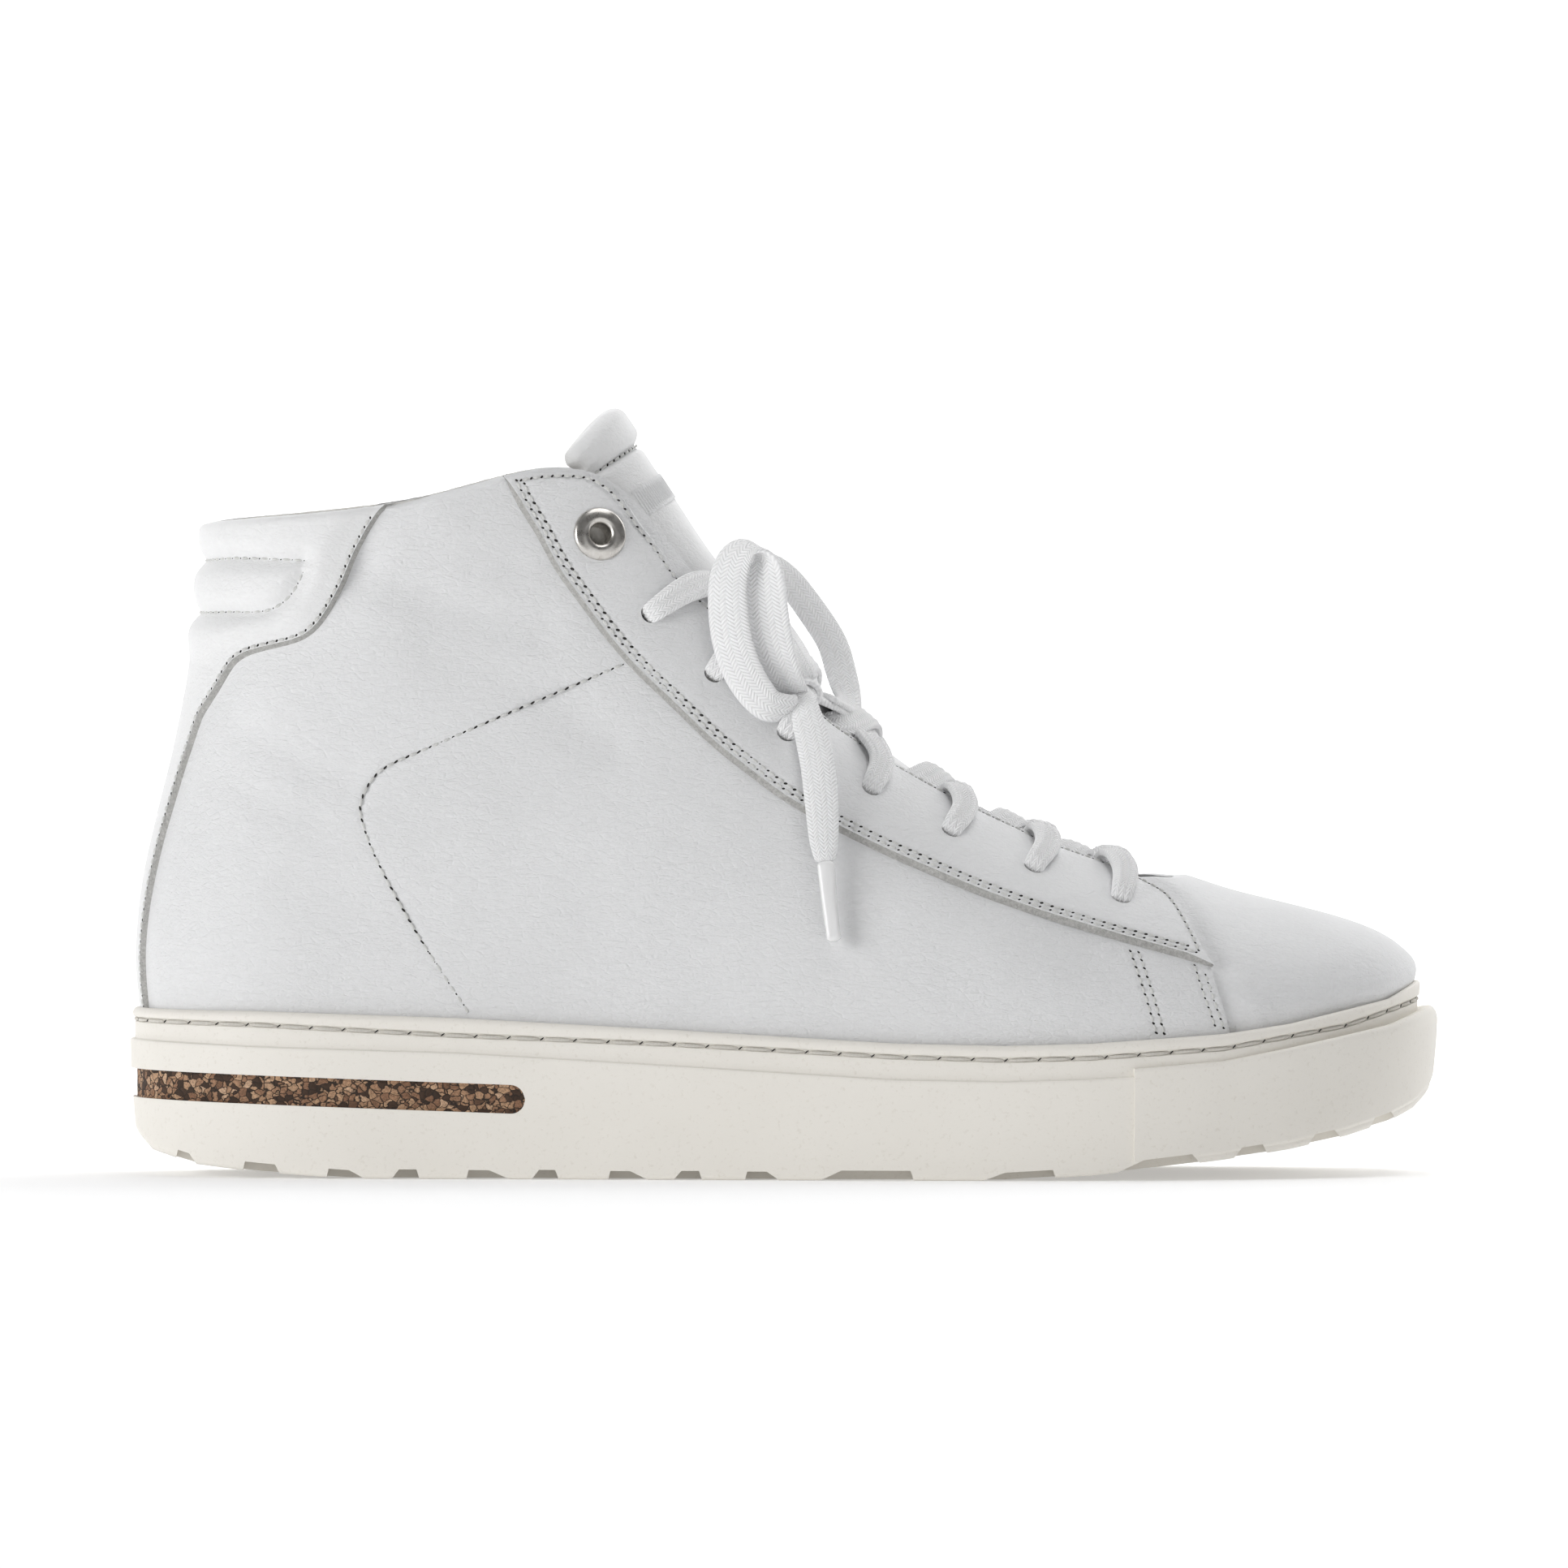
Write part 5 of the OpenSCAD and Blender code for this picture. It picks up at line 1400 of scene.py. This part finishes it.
def tongue_out(s, t):
    """Height of the tongue's padded face."""
    pad = 0.5 * TONGUE_T * (np.maximum(1 - np.abs(t) ** 3.2, 0) ** 0.5 - 1)
    roll = 1.3 * smooth((s - TONGUE_SEAM) / 0.2)
    dip = -1.0 * bell(s - TONGUE_SEAM, 0.09)
    return pad + roll + dip


def tongue():
    columns = 76
    phi = np.linspace(0, 2 * math.pi, columns, endpoint=False)
    s = np.concatenate([np.linspace(0, 8.9, 110), np.linspace(8.93, TONGUE_END, 46)])
    t = np.sign(np.cos(phi)) * np.abs(np.cos(phi)) ** 0.5
    face = np.sin(phi)
    rows = []
    for q in s:
        end = math.sqrt(max(1 - max((q - 9.72) / 0.28, 0) ** 2, 0.0))
        narrow = 1 + 0.07 * smooth((q - 9.35) / 0.4) - 0.05 * (1 - end)
        thick = TONGUE_T + 2.2 * smooth((q - TONGUE_SEAM) / 0.25)
        mid = -0.5 * TONGUE_T + 0.2 * smooth((q - TONGUE_SEAM) / 0.25)
        half = 0.5 * thick * np.sign(face) * np.abs(face) ** 0.55 * (0.12 + 0.88 * end)
        dip = -1.3 * bell(q - TONGUE_SEAM, 0.085) * (face > 0.1)
        sag = 0.26 * np.abs(t) ** 2.2 * smooth((q - 9.1) / 0.9)
        rows.append(on_tongue(q - sag, t * narrow, mid + half + dip))
    pts = np.stack(rows)
    pts += waves(pts, 11, 0.25)[..., None] * [0.7, 0, 0.5]
    m, n, _ = pts.shape
    faces = turned_faces(m, n, -1).tolist() + [list(range(n))[::-1], list(range((m - 1) * n, m * n))]
    obj = make("tongue_padded", pts.reshape(-1, 3), faces, SOFT_LEATHER, body=None, sharp=60)
    face_outward(obj)
    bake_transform(obj)
    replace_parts(obj, "tongue_leather", "tongue_foam", "tongue_lining", "tongue_top_leather", "tongue_top_foam",
                "tongue_top_lining")


def tongue_trim():
    t, s = np.meshgrid(np.linspace(-LABEL_HALF, LABEL_HALF, 221), np.linspace(LABEL_FROM, LABEL_TO, 14))
    ribs = 0.1 * np.sin(t * 190)
    border = np.minimum(smooth((s - LABEL_FROM) / 0.05), smooth((LABEL_TO - s) / 0.05))
    h = tongue_out(s, t) + 0.3 + ribs * (border > 0.9) + 0.12 * (border < 0.9)
    points, faces, _ = shell(on_tongue(s, t, h), on_tongue(s, t, tongue_out(s, t) - 0.4), 2)
    obj = make("tongue_label_band", points, faces, LEATHER, body=FLAP, sharp=30)
    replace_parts(obj, "tongue_label")
    t = np.linspace(-0.93, 0.93, 120)
    line = on_tongue(TONGUE_SEAM + 0 * t, t, tongue_out(TONGUE_SEAM + 0 * t, t) + 0.35)
    up = face_of_tongue(TONGUE_SEAM, t)
    obj = sew("tongue_stitches", [(line, up)], pitch=2.3, radius=0.26, pit=0.5)
    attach(obj, FLAP)


# ---------------------------------------------------------------- laced rows, bar and knot
CROSSINGS = [2.1, 2.95, 3.9, 4.85, 5.7, 6.6]
KNOT = np.array([6.5, -20, 111.5])
LACED_RIBS = 0.11


def hole_uv(row, side):
    return mirrored([HOLES[row]], side)[0]


def edge_uv(row, side, part):
    """Point of the throat edge beside a hole, part of the way to the next one."""
    a = HOLES[row][0] + 0.85
    b = HOLES[min(row + 1, len(HOLES) - 1)][0] + 0.85
    return mirrored([[a + (b - a) * part, TOP]], side)[0]


def at_skin(uv, height):
    return skin(uv[0], uv[1], height), normal(uv[0], uv[1])


def face_of_tongue(s, t):
    return unit(on_tongue(s, t, 2.0) - on_tongue(s, t, 0.0))


def from_hole(hole, mid, edge, heights, steps):
    """How a reach starts: out of its hole and over the lace stay to the edge, as points and facings."""
    (p0, _), (p1, n1), (p2, n2), (p3, n3) = [at_skin(*q) for q in zip((hole, hole, mid, edge), heights)]
    toward = unit(p2 - p1)
    return ([p0 + toward * steps[0], p1 + toward * steps[1], p2, p3],
            [-toward, unit(n1 * 0.8 - toward), n2, unit(n3 + [0, 0, 0.4])])


def strand(row, side):
    """One reach: out of a hole, over the edge and the tongue, and in under the far edge."""
    a, b = hole_uv(row, side), hole_uv(row + 1, -side)
    edge = edge_uv(row, side, 0.24)
    mid = 0.45 * a + 0.55 * edge - [0.1 * side, 0]
    far = edge_uv(row, -side, 0.8)
    lift = 3.2 if side > 0 else 1.4
    s = CROSSINGS[row]
    points, facing = from_hole(a, mid, edge, (-3.6, 1.9, 3.4, 3.1), (0.6, 1.0))
    for at, t, height in ((s - 0.17, 0.5 * side, 2.0), (s, 0, lift), (s + 0.17, -0.5 * side, 1.6)):
        points.append(on_tongue(at, t, height))
        facing.append(face_of_tongue(at, t))
    points += [at_skin(far, -3.4)[0], at_skin(b + [0, 0.5], -4.6)[0], at_skin(b + [0, 0.1], -5.0)[0]]
    facing += [at_skin(far, 0)[1], at_skin(b, 0)[1], at_skin(b, 0)[1]]
    return ribbon(points, facing, [3.8, 5.0, 6.2, 6.8, 7.2, 7.4, 7.4, 7.2, 6.5, 5],
                  [2.4, 3.0, 2.7, 2.4, 2.2, 2.1, 1.9, 1.9, 1.9, 1.9], ribs=LACED_RIBS)


def top_reach(side):
    a = hole_uv(6, side)
    edge = mirrored([[7.55, TOP]], side)[0]
    points, facing = from_hole(a, 0.5 * (a + edge), edge, (-3.6, 1.9, 3.2, 3.0), (0.0, 0.7))
    points += [on_tongue(6.75, 0.45 * side, 3.2), on_tongue(6.3, 0.1 * side - 0.15, 4.5),
               on_tongue(5.9, -0.45, 5.5), KNOT + [-1, 1, 2]]
    facing += [face_of_tongue(6.75, 0.45 * side), face_of_tongue(6.3, 0), face_of_tongue(5.9, -0.4), [0, -0.5, 1]]
    return ribbon(points, facing, [3.8, 5.0, 6.4, 7.0, 7.2, 7.2, 7, 5], [2.4, 3.0, 2.7, 2.4, 2.2, 2, 2, 2],
                  ribs=LACED_RIBS)


def lowest_bar():
    points, facing = [], []
    for side in (LATERAL, MEDIAL):
        a = hole_uv(0, side)
        edge = mirrored([[HOLES[0][0] + 0.7, TOP]], side)[0]
        run = [at_skin(a + [0, 0.1], -4.4), at_skin(a + [0, 0.5], -4.2), at_skin(edge, -3.2)]
        run += [(on_tongue(1.7, 0.5 * side, 1.4), face_of_tongue(1.7, 0.5 * side))]
        if side > 0:
            run = [(on_tongue(1.7, 0, 1.4), face_of_tongue(1.7, 0))] + run[::-1]
        points += [p for p, _ in run]
        facing += [f for _, f in run]
    return ribbon(points, facing, [5, 6.5] + [7.6] * 5 + [6.5, 5], ribs=LACED_RIBS)


def lacing():
    for first, name, node_name in ((LATERAL, "laced_strand_one", "lace_strand_a"),
                                   (MEDIAL, "laced_strand_two", "lace_strand_b")):
        rows = [strand(row, first if row % 2 == 0 else -first) for row in range(6)]
        points, faces, uv = joined(rows + [top_reach(first)])
        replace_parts(make(name, points, faces, LACE, sharp=60, uv=uv), node_name)
    points, faces, uv, _ = lowest_bar()
    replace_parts(make("laced_bar", points, faces, LACE, sharp=60, uv=uv), "lace_bar")


def knot():
    """The bow's knot: one turn of lace round the other, pulled tight."""
    turn = np.linspace(-2.4, 3.6, 16)
    out = np.stack([np.cos(turn), 0 * turn, np.sin(turn)], -1)
    ring = KNOT + [-2, 0, -1] + out * [3.2, 0, 2.6] + np.stack([0 * turn, (turn - 0.6) * 0.5, 0 * turn], -1)
    wrap = ribbon(ring, out, [5] + [6.4] * 14 + [5], 1.9, ribs=0.1)
    core = ribbon(KNOT + np.array([[-3, 4, 2], [-1.5, 0, 0.2], [-2, -4, -1.5], [-3, -7, -2.6]]),
                  [[0.3, 0, 1]] * 4, [6.5, 5.5, 5.5, 5.5], 3.2, ribs=0.08)
    points, faces, uv = joined([wrap, core])
    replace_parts(make("bow_knot", points, faces, LACE, sharp=60, uv=uv), "lace_knot")


# ---------------------------------------------------------------- eyelets and inner parts
def lathed(name, uv, side, profile, material, turns=72):
    """A ring turned about the surface normal: profile is (radius, height) going round."""
    c, up = at_skin(mirrored([uv], side)[0], 0.0)
    x = unit(np.cross(up, [0, 0, 1.0]))
    y = np.cross(up, x)
    a = np.arange(turns) * 2 * math.pi / turns
    spoke = np.cos(a)[:, None] * x + np.sin(a)[:, None] * y
    points = np.concatenate([c + r * spoke + h * up for r, h in profile])
    n = len(profile)
    i, j = np.meshgrid(np.arange(n), np.arange(turns), indexing="ij")
    k = (j + 1) % turns
    m = (i + 1) % n
    faces = np.stack([i * turns + j, m * turns + j, m * turns + k, i * turns + k], -1).reshape(-1, 4)
    return make(name, points, faces, material, sharp=50)


EYELET_PROFILE = [(2.45, -3.2), (2.4, 1.6), (2.65, 2.25), (3.2, 2.6), (3.9, 2.62), (4.8, 2.45), (5.6, 2.2),
                  (6.05, 1.85), (6.15, 1.5), (6.0, 1.25), (3.2, 1.25), (2.95, 0.8), (2.95, -3.2)]
WASHER_PROFILE = [(3.0, -4.6), (3.0, -5.4), (3.6, -5.75), (4.8, -5.6), (5.4, -5.1), (5.5, -4.7), (5.3, -4.5)]


def eyelets():
    for side, tag in SIDES:
        obj = lathed("eyelet_" + tag, METAL_EYELET, side, EYELET_PROFILE, NICKEL)
        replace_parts(obj, "metal_eyelet_" + tag)
        obj = lathed("washer_" + tag, METAL_EYELET, side, WASHER_PROFILE, NICKEL, 48)
        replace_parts(obj, "eyelet_washer_" + tag)


def inner_parts():
    """Hard parts inside the shoe keep their CAD shape and take a finish."""
    finishes = {"midsole_filler": FOAM, "insole_board": BOARD, "footbed": FOAM, "heel_counter": BOARD,
                "eyestay_backing_lateral": LINING, "eyestay_backing_medial": LINING}
    for name, finish in finishes.items():
        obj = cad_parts[name]
        obj.data.materials.clear()
        obj.data.materials.append(finish)


# ---------------------------------------------------------------- stage
# Each light: name, place, size, power, and the point that it is aimed at.
WORLD_LIGHT = 0.15
# The backdrop paper glows like a lamp (painted light): its emission is weaker near the shoe and stronger further out.
BACKDROP_GLOW, BACKDROP_GLOW_FAR = 0.19, 0.66
LIGHTS = [("key_softbox", (-1380, -1040, 420), (900, 900), 13.8, (0, 0, 70)),
          ("top_softbox", (350, 0, 1400), (1500, 900), 8.4, (0, 0, 0)),
          ("front_softbox", (700, -1500, 150), (900, 700), 1.7, (50, 0, 60)),
          ("back_softbox", (1100, 650, 900), (700, 700), 2.2, (0, 0, 100)),
          ("backdrop_softbox", (0, 700, 1500), (2500, 500), 9, (0, 1900, 900))]
BACKDROP_PROFILE = [(-2500, 0), (700, 0), (900, 20), (1080, 90), (1230, 220), (1330, 400), (1380, 620), (1400, 3000)]
BACKDROP_HALF_W, FLOOR_GAP = 3500, 0.02


def studio():
    floor_points = [[x, y, z - FLOOR_GAP] for x in (-BACKDROP_HALF_W, BACKDROP_HALF_W) for y, z in BACKDROP_PROFILE]
    n = len(BACKDROP_PROFILE)
    floor_faces = [[i, n + i, n + i + 1, i + 1] for i in range(n - 1)]
    m, tree, shader = new_material("paper_backdrop")
    where = coordinates(tree)
    color = mixed(tree, noise_of(tree, where, 3), (0.93, 0.93, 0.932), (0.945, 0.945, 0.947))
    away = node(tree, "VectorMath", {0: where}, operation="LENGTH").outputs["Value"]
    # Painted light: the paper's emission rises with distance from the shoe.
    glow = node(tree, "MapRange", {"Value": away, "From Min": 0.4, "From Max": 1.7, "To Min": BACKDROP_GLOW,
                                   "To Max": BACKDROP_GLOW_FAR}).outputs["Result"]
    feed(tree, shader.inputs, {"Base Color": color, "Roughness": 0.9, "Specular IOR Level": 0.1,
                               "Emission Color": (1, 1, 1, 1), "Emission Strength": glow})
    see_through = node(tree, "MixShader", {0: node(tree, "NewGeometry").outputs["Backfacing"],
                                           1: shader.outputs["BSDF"], 2: node(tree, "BsdfTransparent").outputs["BSDF"]})
    output = next(n for n in tree.nodes if n.bl_idname == "ShaderNodeOutputMaterial")
    tree.links.new(see_through.outputs["Shader"], output.inputs["Surface"])
    make("backdrop", floor_points, floor_faces, m, body=None)
    world = bpy.data.worlds.new("studio")
    world.use_nodes = True
    feed(world.node_tree, world.node_tree.nodes["Background"].inputs,
         {"Color": (1, 1, 1, 1), "Strength": WORLD_LIGHT})
    scene.world = world
    for name, place, size, power, aim in LIGHTS:
        data = bpy.data.lights.new(name, "AREA")
        data.shape = "RECTANGLE"
        data.size, data.size_y = size[0] * MM, size[1] * MM
        data.energy = power
        lamp = bpy.data.objects.new(name, data)
        scene.collection.objects.link(lamp)
        lamp.location = Vector(place) * MM
        aim = Vector(aim) * MM - lamp.location
        lamp.rotation_euler = aim.to_track_quat("-Z", "Y").to_euler()
    scene.view_settings.view_transform = "Standard"


# ---------------------------------------------------------------- the whole shoe
for side, tag in SIDES:
    quarter(side, "quarter_leather_" + tag, "quarter_" + tag)
heel_panel()
for side, tag in SIDES:
    eyestay(side, "eyestay_leather_" + tag, "eyestay_" + tag)
vamp()
linings()
upper_stitching()
outsole()
cork()
toe_bumper()
sole_stitching()
footbed()
tongue()
tongue_trim()
lacing()
knot()
eyelets()
inner_parts()
studio()
